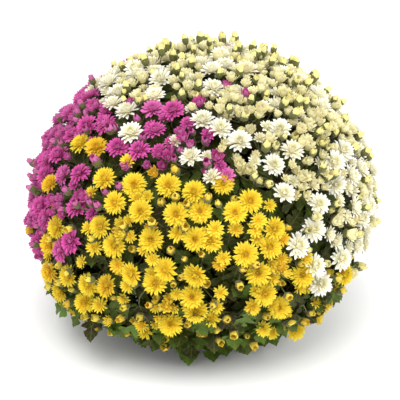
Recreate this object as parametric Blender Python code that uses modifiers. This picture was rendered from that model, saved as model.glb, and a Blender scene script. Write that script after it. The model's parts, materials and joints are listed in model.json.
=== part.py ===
"""Pot chrysanthemum: three small-flowered plants (yellow, magenta, white) grown together in one pot.

Units are metres, +Z is up, and the origin is the middle of the pot's underside. The camera side is -Y.
Each plant is a woody stem that branches inside the dome. Every branch ends under one spray of blooms.
"""

import math

import bmesh
import bpy
import numpy as np
from mathutils import Matrix, Vector
from mathutils.bvhtree import BVHTree
from mathutils.geometry import delaunay_2d_cdt

# Driving dimensions: the dome of blooms
DOME_HEART_Z = 0.196      # height of the dome's widest belt
DOME_REACH = 0.239        # half width at the bloom faces
DOME_RISE = 0.208         # half height at the bloom faces
DOME_LEAN = 0.09          # how much the upper dome climbs towards the white side, per metre of +X
LOWEST_BLOOM = -0.66      # vertical part of the lowest bloom's direction

# Driving dimensions: the heads
SITE_SEED = 7
SITE_TRIES = 9000
SITE_NEAREST = 0.80       # a try is dropped closer than this share of the spacing
SITE_ROUNDS = 60          # rounds in which sites that are too close push each other away
SITE_REACH = 1.08         # they push up to this share of the spacing
SITE_STEP = 0.35
SITE_SPACING = {"yellow": 0.0335, "magenta": 0.0320, "white": 0.0332}
CROWN_SPACING = 0.0298    # white heads crowd on the crown
LARGEST_BLOOM = {"yellow": 0.0160, "magenta": 0.0148, "white": 0.0148}
BLOOM_GAP = 0.0006
CUP_RADIUS = 0.0088       # half-open head
HEADS_PER_SPRAY = 14

GHOST_RINGS = ((-0.80, 40), (-0.93, 18))  # level and count of the sites that close the cells below

# Driving dimensions: relief of a head above and below the bloom faces
CENTRE_RISE = 0.0035
TIP_DROP = 0.0010
NOTCH_DROP = 0.0050
VALLEY_DROP = 0.0150
CUP_RIM_RISE = 0.0020
CUP_CENTRE_DROP = 0.0030
NOTCH_SHARE = 0.60        # radius of the notch between two petals, as a share of the bloom's
OPEN_PETALS = 5
CUP_SIDES = 5
HEAD_HEIGHT_JITTER = 0.0030

# Driving dimensions: sprays
SEAT_DEPTH = 0.046        # where a spray sits on its branch, below the bloom faces
TOUCH_GAP = 0.0003        # pieces that touch keep this gap
SHORTEST_EDGE = 0.0032    # of the valleys round a head
SPRAY_GAP = 0.0004        # from a spray's border to its cells' own border
COLLAR_RADIUS = 0.0065    # where a spray's underside turns down into its stalk
COLLAR_RISE = 0.024       # height of that collar over the seat
COLLAR_SIDES = 4
NECK_DEPTH = 0.006        # thickness of a spray where two of its heads join by a narrow neck

# Driving dimensions: stems
WOOD_RADIUS = 0.0055
STEM_DEPTH = 0.040        # length of the stem's foot in the soil
STEM_HOLE_RADIUS = 0.0062
FORK_Z = 0.150            # where a woody stem forks into limbs
FORK_SPREAD = 1.15        # the forks lean this much further out than the feet
SPRAYS_PER_LIMB = 4.5
LIMB_SHARE = 0.45         # how far a limb reaches towards its sprays
LIMB_RADIUS = 0.0034
RIM_CLEARANCE = 0.012     # a limb ends at least this high over the pot's rim
BRANCH_RADIUS = 0.0022
BRANCH_TIP_RADIUS = 0.0016
BRANCH_POINTS = 4
STALK_POINTS = 3
BEND_STEPS = (0.0, 0.012, 0.024, 0.036, 0.048, -0.012)
SWAY_STEPS = (0.0, 0.015, -0.015, 0.030, -0.030)

# Driving dimensions: leaves
LEAF_SEED = 21
LEAF_EDGE = ((0.18, 0.28), (0.38, 0.13), (0.56, 0.34), (0.74, 0.14))  # lobe, notch, lobe, notch
LEAF_FOLD = 0.30
LEAF_ARCH = 0.12
LEAF_THICKNESS = 0.0009
STALK_WIDTH = 0.0022
FLOOR_GAP = 0.004
WINDOW_LEAVES = 14        # leaves that come out between sprays
WINDOW_LEAF_LENGTH = 0.042
WINDOW_LEAF_DROP = 0.012
SKIRT_LEAVES = 26         # leaves that hang below the lowest sprays
SKIRT_ROWS = (
    {"radius": 0.112, "height": 0.066, "dip": 42.0, "length": 0.052},
    {"radius": 0.100, "height": 0.036, "dip": 12.0, "length": 0.048},
)

# Driving dimensions: pot and soil
POT_HEIGHT = 0.130
POT_TOP_RADIUS = 0.098
POT_FOOT_RADIUS = 0.070
POT_WALL = 0.0016
POT_FLOOR = 0.0024
RIM_HEIGHT = 0.022
RIM_STEP = 0.0030
SOIL_TOP_Z = 0.114
SOIL_CROWN = 0.006
DRAIN_RADIUS = 0.005
DRAIN_CIRCLE = 0.045
DRAIN_COUNT = 6
ROUND_STEPS = 24

PLANTS = {
    "yellow": {"foot": (-0.008, -0.046), "colour": (0.93, 0.68, 0.02)},
    "magenta": {"foot": (-0.044, 0.016), "colour": (0.55, 0.06, 0.33)},
    "white": {"foot": (0.034, 0.026), "colour": (0.90, 0.88, 0.66)},
}
GREEN = (0.055, 0.13, 0.035)
POT_COLOUR = (0.05, 0.05, 0.05)
SOIL_COLOUR = (0.05, 0.032, 0.02)
JOIN_SOLVER = "MANIFOLD"   # the exact solver leaves open edges where thin leaf stalks meet a branch
Z_AXIS = Vector((0.0, 0.0, 1.0))
DOME_HEART = Vector((0.0, 0.0, DOME_HEART_Z))


# Where the heads stand: one rule for the whole dome

def unit(vectors):
    """The same vectors, each one metre long."""
    return vectors / np.linalg.norm(vectors, axis=-1, keepdims=True)


def dome_point(directions, drop=0.0):
    """Points of the dome in these directions, at a depth below the bloom faces."""
    directions = np.asarray(directions, float)
    reach = DOME_REACH - drop
    rise = DOME_RISE - drop
    x = reach * directions[..., 0]
    y = reach * directions[..., 1]
    z = rise * directions[..., 2]
    upper = np.clip(directions[..., 2] + 0.35, 0.0, 1.0)
    z = z + DOME_LEAN * x * upper
    return np.stack([x, y, z + DOME_HEART_Z], axis=-1)


def dome_normal(directions):
    """Which way the dome faces in these directions."""
    directions = np.asarray(directions, float)
    return unit(directions / np.array([DOME_REACH, DOME_REACH, DOME_RISE]))


def plant_of(directions):
    """Which plant covers each direction: 0 yellow, 1 magenta, 2 white."""
    x, y, z = np.moveaxis(np.asarray(directions, float), -1, 0)
    wave = 0.05 * np.sin(9.0 * x + 2.0) * np.cos(7.0 * y + 4.0 * z)
    yellow = -0.256 * x - 0.772 * y - 0.581 * z + wave > 0.366
    front = -0.783 * x - 0.617 * y + 0.078 * z - wave > 0.449
    back = -0.86 * x + 0.42 * y - 0.10 * z + wave > 0.50
    return np.where(yellow, 0, np.where(front | back, 1, 2))


def spacing_at(directions):
    """Distance wanted between neighbouring heads."""
    names = list(SITE_SPACING)
    wanted = np.array([SITE_SPACING[name] for name in names])[plant_of(directions)]
    crown = (plant_of(directions) == 2) & (directions[..., 2] > 0.55)
    return np.where(crown, CROWN_SPACING, wanted)


def scattered_sites(draw):
    """Directions of the heads: random tries that keep their distance, then evened out."""
    tries = unit(draw.normal(size=(SITE_TRIES, 3)))
    tries = tries[tries[:, 2] > LOWEST_BLOOM]
    places = dome_point(tries)
    spacing = spacing_at(tries)
    kept = []
    for index in range(len(tries)):
        if kept:
            near = np.linalg.norm(places[kept] - places[index], axis=1)
            if (near < SITE_NEAREST * spacing[index]).any():
                continue
        kept.append(index)
    sites = tries[kept]
    for _ in range(SITE_ROUNDS):
        places = dome_point(sites)
        spacing = spacing_at(sites)
        apart = places[:, None] - places[None]
        distance = np.linalg.norm(apart, axis=2) + np.eye(len(sites))
        wanted = SITE_REACH * 0.5 * (spacing[:, None] + spacing[None])
        push = np.clip(wanted - distance, 0.0, None)
        np.fill_diagonal(push, 0.0)
        move = (apart / distance[..., None] * push[..., None]).sum(axis=1)
        sites = unit(sites + SITE_STEP * move / DOME_REACH)
        low = sites[:, 2] < LOWEST_BLOOM
        sites[low, 2] = LOWEST_BLOOM
        sites = unit(sites)
    return sites


def heads():
    """Every main head: its direction, plant, form, radius, height and turn, from one seeded rule."""
    draw = np.random.default_rng(SITE_SEED)
    sites = scattered_sites(draw)
    count = len(sites)
    plant = plant_of(sites)
    places = dome_point(sites)
    distance = np.linalg.norm(places[:, None] - places[None], axis=2)
    np.fill_diagonal(distance, 1.0)
    room = 0.5 * distance.min(axis=1) - BLOOM_GAP
    largest = np.array(list(LARGEST_BLOOM.values()))[plant]
    radius = np.minimum(room, largest) * draw.uniform(0.90, 1.0, count)
    crown = np.clip((sites[:, 2] - 0.35) / 0.4, 0.0, 1.0) * np.clip(sites[:, 0] + 0.75, 0.0, 1.0)
    cup_share = np.array([0.14, 0.18, 0.22])[plant] + (plant == 2) * 0.42 * crown
    is_cup = draw.uniform(size=count) < cup_share
    radius = np.where(is_cup, np.minimum(radius, CUP_RADIUS), radius)
    lift = draw.uniform(-HEAD_HEIGHT_JITTER, HEAD_HEIGHT_JITTER, count)
    turn = draw.uniform(0.0, 2.0 * math.pi, count)
    return {"site": sites, "plant": plant, "cup": is_cup, "radius": radius, "lift": lift, "turn": turn}


# How the heads share the dome: cells, sprays and windows

def cells_around(directions):
    """Cells round the sites: the corners' directions, and each site's corners and neighbours in turn."""
    work = bmesh.new()
    for direction in directions:
        work.verts.new(direction)
    bmesh.ops.convex_hull(work, input=work.verts)
    bmesh.ops.triangulate(work, faces=work.faces)
    bmesh.ops.recalc_face_normals(work, faces=work.faces)
    work.verts.ensure_lookup_table()
    work.verts.index_update()
    work.faces.index_update()
    corners = [tuple(face.normal.normalized()) for face in work.faces]
    rings = []
    for vert in work.verts:
        loop = vert.link_loops[0]
        ring = []
        while not ring or loop != vert.link_loops[0]:
            before = loop.link_loop_prev
            ring.append((loop.face.index, before.vert.index))
            loop = before.link_loop_radial_next
        rings.append(ring)
    work.free()
    return widened(np.array(corners), directions, rings), rings


def widened(corners, sites, rings):
    """Moves corners apart where a cell's edge would be too short to build."""
    shortest = SHORTEST_EDGE / DOME_REACH
    for _ in range(6):
        for site, ring in enumerate(rings):
            for (first, near), (second, _) in zip(ring, ring[1:] + ring[:1]):
                if np.linalg.norm(corners[first] - corners[second]) < shortest:
                    middle = 0.5 * (corners[first] + corners[second])
                    half = 0.5 * shortest * unit(np.cross(sites[site], sites[near]))
                    corners[first] = unit(middle - half)
                    corners[second] = unit(middle + half)
    return corners


def frame_at(axis):
    """An axis with two directions square to it."""
    axis = Vector(axis).normalized()
    across = Z_AXIS.cross(axis)
    if across.length < 1e-4:
        across = Vector((1.0, 0.0, 0.0))
    across.normalize()
    return axis, across, axis.cross(across)


def ghost_sites():
    """Sites under the dome that only close the lowest cells."""
    found = [(0.0, 0.0, -1.0)]
    for level, count in GHOST_RINGS:
        for index in range(count):
            angle = 2.0 * math.pi * (index + 0.5 * level) / count
            out = math.sqrt(1.0 - level * level)
            found.append((out * math.cos(angle), out * math.sin(angle), level + 0.004 * (index % 3)))
    return unit(np.array(found))


def grouped(places, groups):
    """Splits places into compact groups, which start at far places and are then evened out."""
    chosen = [int(np.argmax(places[:, 2]))]
    while len(chosen) < groups:
        distance = np.linalg.norm(places[:, None] - places[chosen][None], axis=2).min(axis=1)
        chosen.append(int(np.argmax(distance)))
    middles = places[chosen]
    for _ in range(25):
        label = np.linalg.norm(places[:, None] - middles[None], axis=2).argmin(axis=1)
        middles = np.array([places[label == group].mean(axis=0) for group in range(groups)])
    return label


def parts_of(members, rings):
    """The pieces that a set of cells falls into, largest first."""
    left = set(members)
    pieces = []
    while left:
        piece = {min(left)}
        edge = list(piece)
        while edge:
            site = edge.pop()
            found = {near for _, near in rings[site]} & left - piece
            piece |= found
            edge += sorted(found)
        left -= piece
        pieces.append(piece)
    return sorted(pieces, key=lambda piece: (-len(piece), min(piece)))


def border_of(members, rings):
    """The border of a set of cells, as loops of corner numbers."""
    onward = {}
    for site in sorted(members):
        ring = rings[site]
        for index, (corner, near) in enumerate(ring):
            if near not in members:
                onward[corner] = ring[(index + 1) % len(ring)][0]
    loops = []
    while onward:
        start = min(onward)
        loop = [start]
        following = onward.pop(start)
        while following != start:
            loop.append(following)
            following = onward.pop(following)
        loops.append(loop)
    return loops


def spray_labels(head, rings):
    """A spray number for each head. A head that is cut off from its spray joins its neighbours' one."""
    places = dome_point(head["site"])
    count = len(places)
    label = np.zeros(count, int)
    start = 0
    for plant in range(len(PLANTS)):
        own = np.flatnonzero(head["plant"] == plant)
        groups = round(len(own) / HEADS_PER_SPRAY)
        label[own] = grouped(places[own], groups) + start
        start += groups
    for _ in range(3):
        for group in range(start):
            for scrap in parts_of(np.flatnonzero(label == group).tolist(), rings)[1:]:
                for site in sorted(scrap):
                    near = [label[other] for _, other in rings[site] if other < count]
                    near = [other for other in near if other != group]
                    label[site] = max(sorted(set(near)), key=near.count)
    return label


def sprays_and_windows(head, rings):
    """Groups the heads into sprays, and picks the cells between sprays that stay free for leaves."""
    label = spray_labels(head, rings)
    count = len(label)
    windows = []
    for site in np.argsort(head["site"][:, 2] + 0.35 * np.sin(17.0 * np.arange(count))):
        near = [other for _, other in rings[site] if other < count]
        if len(windows) == WINDOW_LEAVES:
            break
        if len({int(label[other]) for other in near}) < 3 or set(near) & set(windows):
            continue
        group = label[site]
        rest = set(np.flatnonzero(label == group).tolist()) - {int(site)} - set(windows)
        if len(parts_of(rest, rings)) == 1 and len(border_of(rest, rings)) == 1:
            windows.append(int(site))
    sprays = []
    for group in range(label.max() + 1):
        members = set(np.flatnonzero(label == group).tolist()) - set(windows)
        plants = [int(head["plant"][site]) for site in members]
        sprays.append({"members": members, "plant": max(set(plants), key=plants.count)})
    return sprays, windows


# The relief of one spray

def head_rim(head, site):
    """A head's middle, its outline points in turn, and its place with two directions across it."""
    axis, across, along = frame_at(dome_normal(head["site"][site]))
    middle = Vector(dome_point(head["site"][site])) + axis * head["lift"][site]
    radius = head["radius"][site]
    if head["cup"][site]:
        points = [(radius, CUP_RIM_RISE)] * CUP_SIDES
        crown = -CUP_CENTRE_DROP
    else:
        points = [(radius, -TIP_DROP), (radius * NOTCH_SHARE, -NOTCH_DROP)] * OPEN_PETALS
        crown = CENTRE_RISE
    rim = []
    for index, (reach, rise) in enumerate(points):
        angle = head["turn"][site] + 2.0 * math.pi * index / len(points)
        out = across * math.cos(angle) + along * math.sin(angle)
        rim.append(middle + out * reach + axis * rise)
    place = (Vector(dome_point(head["site"][site])), across, along)
    return middle + axis * crown, rim, place


def turned(verts, place):
    """A loop of vertices that starts at the smallest angle round a head, with the angles."""
    middle, across, along = place
    angles = [math.atan2((v.co - middle).dot(along), (v.co - middle).dot(across)) for v in verts]
    start = angles.index(min(angles))
    angles = angles[start:] + angles[:start]
    for index in range(1, len(angles)):
        angles[index] = max(angles[index], angles[index - 1])
    return verts[start:] + verts[:start], angles


def bridge(work, inner, outer, place):
    """Fills the ring between a head's rim and its cell's corners with triangles."""
    inner, inner_angles = turned(inner, place)
    outer, outer_angles = turned(outer, place)
    inner_angles = inner_angles + [inner_angles[0] + 2.0 * math.pi]
    outer_angles = outer_angles + [outer_angles[0] + 2.0 * math.pi]
    i = j = 0
    while i < len(inner) or j < len(outer):
        here, there = inner[i % len(inner)], outer[j % len(outer)]
        if j == len(outer) or (i < len(inner) and inner_angles[i + 1] <= outer_angles[j + 1]):
            work.faces.new((here, there, inner[(i + 1) % len(inner)]))
            i += 1
        else:
            work.faces.new((here, there, outer[(j + 1) % len(outer)]))
            j += 1


def middle_site(head, members):
    """The head nearest the middle of a spray, above its branch."""
    own = sorted(members)
    places = dome_point(head["site"][own])
    return own[int(np.linalg.norm(places - places.mean(axis=0), axis=1).argmin())]


def seat_of(head, members):
    """Where a spray sits on its branch, and which way it faces there."""
    site = head["site"][middle_site(head, members)]
    return Vector(dome_point(site, SEAT_DEPTH)), Vector(dome_normal(site))


def close_underside(work, border, head, members):
    """Closes a spray below: from its border to a collar, then a stalk down to its seat."""
    seat, axis = seat_of(head, members)
    _, across, along = frame_at(axis)
    collar = []
    for index in range(COLLAR_SIDES):
        angle = 2.0 * math.pi * (index + 0.5) / COLLAR_SIDES
        out = across * math.cos(angle) + along * math.sin(angle)
        collar.append(work.verts.new(seat + axis * COLLAR_RISE + out * COLLAR_RADIUS))
    verts = border + collar
    for index, vert in enumerate(border):
        for other in border[:index]:
            shared = work.edges.get((vert, other))
            if shared and not shared.is_boundary:
                verts.append(work.verts.new(0.5 * (vert.co + other.co) - axis * NECK_DEPTH))
    flat = [Vector(((vert.co - seat).dot(across), (vert.co - seat).dot(along))) for vert in verts]
    count = len(border)
    edges = [(index, (index + 1) % count) for index in range(count)]
    inner = list(range(count, count + COLLAR_SIDES))
    edges += list(zip(inner, inner[1:] + inner[:1]))
    _, _, faces, origin, _, _ = delaunay_2d_cdt(flat, edges, [], 1, 1e-7)
    for face in faces:
        own = [verts[origin[index][0]] for index in face]
        if not all(vert in collar for vert in own):
            work.faces.new(own)
    foot = work.verts.new(seat)
    for first, second in zip(collar, collar[1:] + collar[:1]):
        work.faces.new((foot, first, second))


def corner_place(corner, members, corners, rings, head):
    """Where a cell's corner lies for one spray: pulled in a little on the spray's border."""
    place = Vector(dome_point(corners[corner], VALLEY_DROP))
    own = [site for site in members if any(corner == found for found, _ in rings[site])]
    if len(own) == 3:
        return place
    inward = Vector(dome_point(head["site"][own], VALLEY_DROP).mean(axis=0)) - place
    return place + inward.normalized() * SPRAY_GAP


def build_spray(name, head, members, corners, rings, material, collection):
    """One spray: its heads stand out of a funnel that narrows to the end of its branch."""
    work = bmesh.new()
    valley = {}
    for site in sorted(members):
        for corner, _ in rings[site]:
            if corner not in valley:
                valley[corner] = work.verts.new(corner_place(corner, members, corners, rings, head))
    for site in sorted(members):
        middle, rim, place = head_rim(head, site)
        centre = work.verts.new(middle)
        petals = [work.verts.new(point) for point in rim]
        for first, second in zip(petals, petals[1:] + petals[:1]):
            work.faces.new((centre, first, second))
        bridge(work, petals, [valley[corner] for corner, _ in rings[site]], place)
    close_underside(work, [valley[corner] for corner in border_of(members, rings)[0]], head, members)
    bmesh.ops.recalc_face_normals(work, faces=work.faces)
    return object_from(work, name, material, collection)


# Stems, branches and leaves

def object_from(work, name, material, collection):
    """Makes an object of a working mesh."""
    mesh = bpy.data.meshes.new(name)
    work.to_mesh(mesh)
    work.free()
    mesh.materials.append(material)
    made = bpy.data.objects.new(name, mesh)
    collection.objects.link(made)
    return made


def curved(ends, count):
    """Points along a cubic curve through four control points."""
    points = []
    for index in range(count):
        t = index / (count - 1)
        weights = ((1 - t) ** 3, 3 * t * (1 - t) ** 2, 3 * t * t * (1 - t), t ** 3)
        points.append(sum((weight * Vector(end) for weight, end in zip(weights, ends)), Vector()))
    return points


def rod(points, radius, tip_radius, resolution=0):
    """A tapering stem along points, as a closed working mesh."""
    curve = bpy.data.curves.new("rod", "CURVE")
    curve.dimensions = "3D"
    curve.bevel_depth = radius
    curve.bevel_resolution = resolution
    curve.use_fill_caps = True
    spline = curve.splines.new("POLY")
    spline.points.add(len(points) - 1)
    for index, point in enumerate(points):
        share = index / (len(points) - 1)
        spline.points[index].co = (*point, 1.0)
        spline.points[index].radius = 1.0 + (tip_radius / radius - 1.0) * share
    guide = bpy.data.objects.new("rod", curve)
    mesh = bpy.data.meshes.new_from_object(guide)
    work = bmesh.new()
    work.from_mesh(mesh)
    bmesh.ops.remove_doubles(work, verts=work.verts, dist=1e-5)
    bmesh.ops.recalc_face_normals(work, faces=work.faces)
    bpy.data.meshes.remove(mesh)
    bpy.data.objects.remove(guide)
    bpy.data.curves.remove(curve)
    return work


def cut_leaf(stalk, heading, face, length):
    """A cut leaf on a flat stalk: a thin folded blade that starts at the stalk's last point."""
    heading = heading.normalized()
    side = heading.cross(face).normalized()
    upward = side.cross(heading)
    base = stalk[-1]

    def at(along, across):
        height = LEAF_FOLD * abs(across) - LEAF_ARCH * along * along
        return base + length * (heading * along + side * across + upward * height)

    work = bmesh.new()
    pair = None
    for index, point in enumerate(stalk):
        before = stalk[max(index - 1, 0)]
        after = stalk[min(index + 1, len(stalk) - 1)]
        run = (after - before).normalized() if after != before else heading
        level = side - run * side.dot(run)
        level = (level if level.length > 0.25 else face.cross(run)).normalized()
        half = level * STALK_WIDTH / 2
        following = (work.verts.new(point - half), work.verts.new(point + half))
        if pair:
            work.faces.new((pair[0], pair[1], following[1], following[0]))
        pair = following
    rib = work.verts.new(at(0.5, 0.0))
    tip = work.verts.new(at(1.0, 0.0))
    work.faces.new((pair[0], pair[1], rib))
    for hand, root in zip((-1.0, 1.0), pair):
        edge = [root] + [work.verts.new(at(along, hand * across)) for along, across in LEAF_EDGE] + [tip]
        for first, second in zip(edge, edge[1:]):
            work.faces.new((rib, first, second))
    bmesh.ops.triangulate(work, faces=work.faces)
    bmesh.ops.recalc_face_normals(work, faces=work.faces)
    bmesh.ops.solidify(work, geom=work.faces[:] + work.edges[:] + work.verts[:], thickness=LEAF_THICKNESS)
    bmesh.ops.recalc_face_normals(work, faces=work.faces)
    return work


def is_clear(work, solids):
    """Whether a working mesh stays clear of all the solids, and above the floor."""
    tree = BVHTree.FromBMesh(work)
    if min(vert.co.z for vert in work.verts) < FLOOR_GAP:
        return False
    for solid in solids:
        if tree.overlap(solid):
            return False
        if any(solid.find_nearest(vert.co, TOUCH_GAP / 2)[0] is not None for vert in work.verts):
            return False
    return True


def tree_of(thing):
    """A search tree of an object's mesh."""
    work = bmesh.new()
    work.from_mesh(thing.data)
    tree = BVHTree.FromBMesh(work)
    work.free()
    return tree


def bent_routes(start, aim, end, end_axis, count):
    """Ways from start to end, the straightest first, then bent more and more up or sideways."""
    span = (end - start).length
    sideways = aim.cross(end_axis)
    if sideways.length < 0.05:
        sideways = aim.orthogonal()
    sideways.normalize()
    for lift in BEND_STEPS:
        for sway in SWAY_STEPS:
            bend = Z_AXIS * lift + sideways * sway
            leaving = start + aim * span * 0.35 + bend
            arriving = end - end_axis * span * 0.35 + bend * 0.5
            yield curved((start, leaving, arriving, end), count)


class Plant:
    """One plant's woody stem, limbs, branches and leaves, which become one solid."""

    def __init__(self, name, material, collection):
        self.name = name
        self.material = material
        self.collection = collection
        self.pieces = []
        self.trees = []
        self.twigs = []
        foot_x, foot_y = PLANTS[name]["foot"]
        bottom = Vector((foot_x, foot_y, SOIL_TOP_Z - STEM_DEPTH))
        collar = Vector((foot_x, foot_y, SOIL_TOP_Z + 2.0 * SOIL_CROWN))
        self.fork = Vector((foot_x * FORK_SPREAD, foot_y * FORK_SPREAD, FORK_Z))
        self.add(rod([bottom, collar, self.fork], WOOD_RADIUS, 0.8 * WOOD_RADIUS, 2))

    def add(self, work):
        self.trees.append(BVHTree.FromBMesh(work))
        self.pieces.append(object_from(work, self.name + "_piece", self.material, self.collection))

    def grow_stem(self, start, aim, end, end_axis, radius, tip_radius, count, solids):
        """Adds a stem by the first clear way, and gives its points."""
        for points in bent_routes(start, aim, end, end_axis, count):
            work = rod(points, radius, tip_radius)
            if is_clear(work, solids):
                self.add(work)
                return points
            work.free()
        raise ValueError(self.name + ": no clear way for a stem")

    def grow_limbs(self, seats, solids):
        """Limbs from the fork towards groups of sprays, and a branch from a limb's end to each spray."""
        places = np.array([seat for seat, _ in seats])
        label = grouped(places, max(1, round(len(seats) / SPRAYS_PER_LIMB)))
        for group in range(label.max() + 1):
            own = [seats[index] for index in np.flatnonzero(label == group)]
            middle = sum((seat for seat, _ in own), Vector()) / len(own)
            end = self.fork.lerp(middle, LIMB_SHARE)
            end.z = max(end.z, POT_HEIGHT + RIM_CLEARANCE)
            aim = (end - self.fork).normalized()
            start = self.fork - Z_AXIS * WOOD_RADIUS
            self.grow_stem(start, aim, end, aim, LIMB_RADIUS, 0.8 * LIMB_RADIUS, 3, solids)
            start = end - aim * LIMB_RADIUS
            for seat, axis in own:
                foot = seat - axis * TOUCH_GAP
                sizes = (BRANCH_RADIUS, BRANCH_TIP_RADIUS, BRANCH_POINTS)
                points = self.grow_stem(start, aim, foot, axis, *sizes, solids)
                self.twigs += points[1:-1]

    def add_leaf(self, base, heading, face, length, solids):
        """A leaf on a stalk from a near branch, if there is a clear way."""
        probe = cut_leaf([base - heading * STALK_WIDTH, base], heading, face, length)
        free = is_clear(probe, solids + self.trees)
        probe.free()
        if not free:
            return False
        for root in sorted(self.twigs, key=lambda twig: (twig - base).length)[:3]:
            aim = (base - root).normalized()
            for stalk in bent_routes(root, aim, base, heading, STALK_POINTS):
                leaf = cut_leaf(stalk, heading, face, length)
                if is_clear(leaf, solids):
                    self.add(leaf)
                    return True
                leaf.free()
        return False

    def join(self):
        """The whole plant below its blooms, as one solid."""
        return joined(self.pieces[0], self.pieces[1:], self.name + "_leafy_stems")


def joined(base, pieces, name):
    """One Boolean union of base with all the pieces, applied, with the pieces then removed."""
    group = bpy.data.collections.new(name + "_pieces")
    bpy.context.scene.collection.children.link(group)
    for piece in pieces:
        for holder in list(piece.users_collection):
            holder.objects.unlink(piece)
        group.objects.link(piece)
    union = base.modifiers.new("union", "BOOLEAN")
    union.operation = "UNION"
    union.operand_type = "COLLECTION"
    union.collection = group
    union.solver = JOIN_SOLVER
    bpy.context.view_layer.update()
    mesh = bpy.data.meshes.new_from_object(base.evaluated_get(bpy.context.evaluated_depsgraph_get()))
    base.modifiers.clear()
    base.data = mesh
    base.name = name
    for piece in pieces:
        bpy.data.objects.remove(piece)
    bpy.data.collections.remove(group)
    return base


def window_leaves(windows, head, plants, names, solids):
    """One leaf comes out between the sprays at each window."""
    draw = np.random.default_rng(LEAF_SEED)
    for site in windows:
        name = names[int(head["plant"][site])]
        axis, across, along = frame_at(dome_normal(head["site"][site]))
        first = draw.uniform(0.0, 2.0 * math.pi)
        others = [tree for plant in plants.values() if plant.name != name for tree in plant.trees]
        for attempt in range(36):
            turn = first + 2.4 * attempt
            slope = math.radians(35.0 + 0.6 * attempt)
            length = WINDOW_LEAF_LENGTH * (1.0 - 0.008 * attempt)
            flat = across * math.cos(turn) + along * math.sin(turn)
            heading = flat * math.cos(slope) + axis * math.sin(slope)
            face = axis * math.cos(slope) - flat * math.sin(slope)
            base = Vector(dome_point(head["site"][site], WINDOW_LEAF_DROP)) - heading * 0.5 * length
            if plants[name].add_leaf(base, heading, face, length, solids + others):
                break
        else:
            print("no leaf at window", site)


def skirt_leaves(plants, names, solids):
    """Leaves that hang all round below the lowest sprays, in two rows."""
    draw = np.random.default_rng(LEAF_SEED + 1)
    for index in range(SKIRT_LEAVES):
        row = SKIRT_ROWS[index % len(SKIRT_ROWS)]
        for attempt in range(30):
            wobble = draw.uniform(-1.0, 1.0, 4)
            around = 2.0 * math.pi * index / SKIRT_LEAVES + wobble[0] * (0.04 + 0.006 * attempt)
            outward = Vector((math.cos(around), math.sin(around), 0.0))
            sideways = Vector((-outward.y, outward.x, 0.0))
            dip = math.radians(row["dip"] + 5.0 * wobble[1])
            heading = outward * math.cos(dip) - Z_AXIS * math.sin(dip) + sideways * 0.25 * wobble[2]
            face = Z_AXIS * math.cos(dip) + outward * math.sin(dip)
            base = outward * row["radius"] + Z_AXIS * (row["height"] + 0.004 * wobble[3])
            name = names[int(plant_of(np.array(base - DOME_HEART) / DOME_REACH))]
            length = row["length"] * (1.0 - 0.010 * attempt)
            others = [tree for plant in plants.values() if plant.name != name for tree in plant.trees]
            if plants[name].add_leaf(base, heading, face, length, solids + others):
                break
        else:
            print("no leaf at skirt", index)


# Pot and soil

def turned_solid(name, profile, material, collection):
    """A solid turned round the pot's axis. Its profile runs down its outer side, from axis to axis."""
    work = bmesh.new()
    verts = [work.verts.new((radius, 0.0, height)) for radius, height in profile]
    for first, second in zip(verts, verts[1:]):
        work.edges.new((first, second))
    made = object_from(work, name, material, collection)
    screw = made.modifiers.new("turn", "SCREW")
    screw.angle = 2.0 * math.pi
    screw.steps = ROUND_STEPS
    screw.render_steps = ROUND_STEPS
    screw.use_merge_vertices = True
    screw.merge_threshold = 0.00001
    return made


def hole_cutter(place, radius, depth, sides, cutters):
    """An upright cutter with its bottom at place."""
    work = bmesh.new()
    bmesh.ops.create_cone(
        work, cap_ends=True, segments=sides, radius1=radius, radius2=radius, depth=depth,
        matrix=Matrix.Translation(Vector(place) + Z_AXIS * depth / 2),
    )
    mesh = bpy.data.meshes.new("hole")
    work.to_mesh(mesh)
    work.free()
    cutter = bpy.data.objects.new("hole", mesh)
    cutter.hide_render = True
    cutter.display_type = "WIRE"
    cutters.objects.link(cutter)


def cut_with(made, cutters):
    cut = made.modifiers.new("holes", "BOOLEAN")
    cut.operation = "DIFFERENCE"
    cut.operand_type = "COLLECTION"
    cut.collection = cutters


def pot_inside(height):
    """Radius of the pot's inner wall at this height."""
    share = height / POT_HEIGHT
    return POT_FOOT_RADIUS + (POT_TOP_RADIUS - POT_FOOT_RADIUS) * share - POT_WALL


def build_pot(material, collection):
    wall_top = POT_HEIGHT - RIM_HEIGHT
    profile = [
        (0.0, POT_FLOOR),
        (pot_inside(POT_FLOOR), POT_FLOOR),
        (pot_inside(POT_HEIGHT), POT_HEIGHT),
        (POT_TOP_RADIUS + RIM_STEP - 0.001, POT_HEIGHT),
        (POT_TOP_RADIUS + RIM_STEP, POT_HEIGHT - 0.002),
        (POT_TOP_RADIUS + RIM_STEP, wall_top),
        (pot_inside(wall_top) + POT_WALL, wall_top - 0.002),
        (POT_FOOT_RADIUS, 0.0015),
        (POT_FOOT_RADIUS - 0.0015, 0.0),
        (0.0, 0.0),
    ]
    pot = turned_solid("pot", profile, material, collection)
    cutters = collection_named("drain_holes")
    for index in range(DRAIN_COUNT):
        angle = 2.0 * math.pi * index / DRAIN_COUNT
        place = (DRAIN_CIRCLE * math.cos(angle), DRAIN_CIRCLE * math.sin(angle), -POT_FLOOR)
        hole_cutter(place, DRAIN_RADIUS, 3.0 * POT_FLOOR, 10, cutters)
    cut_with(pot, cutters)
    return pot


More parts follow.
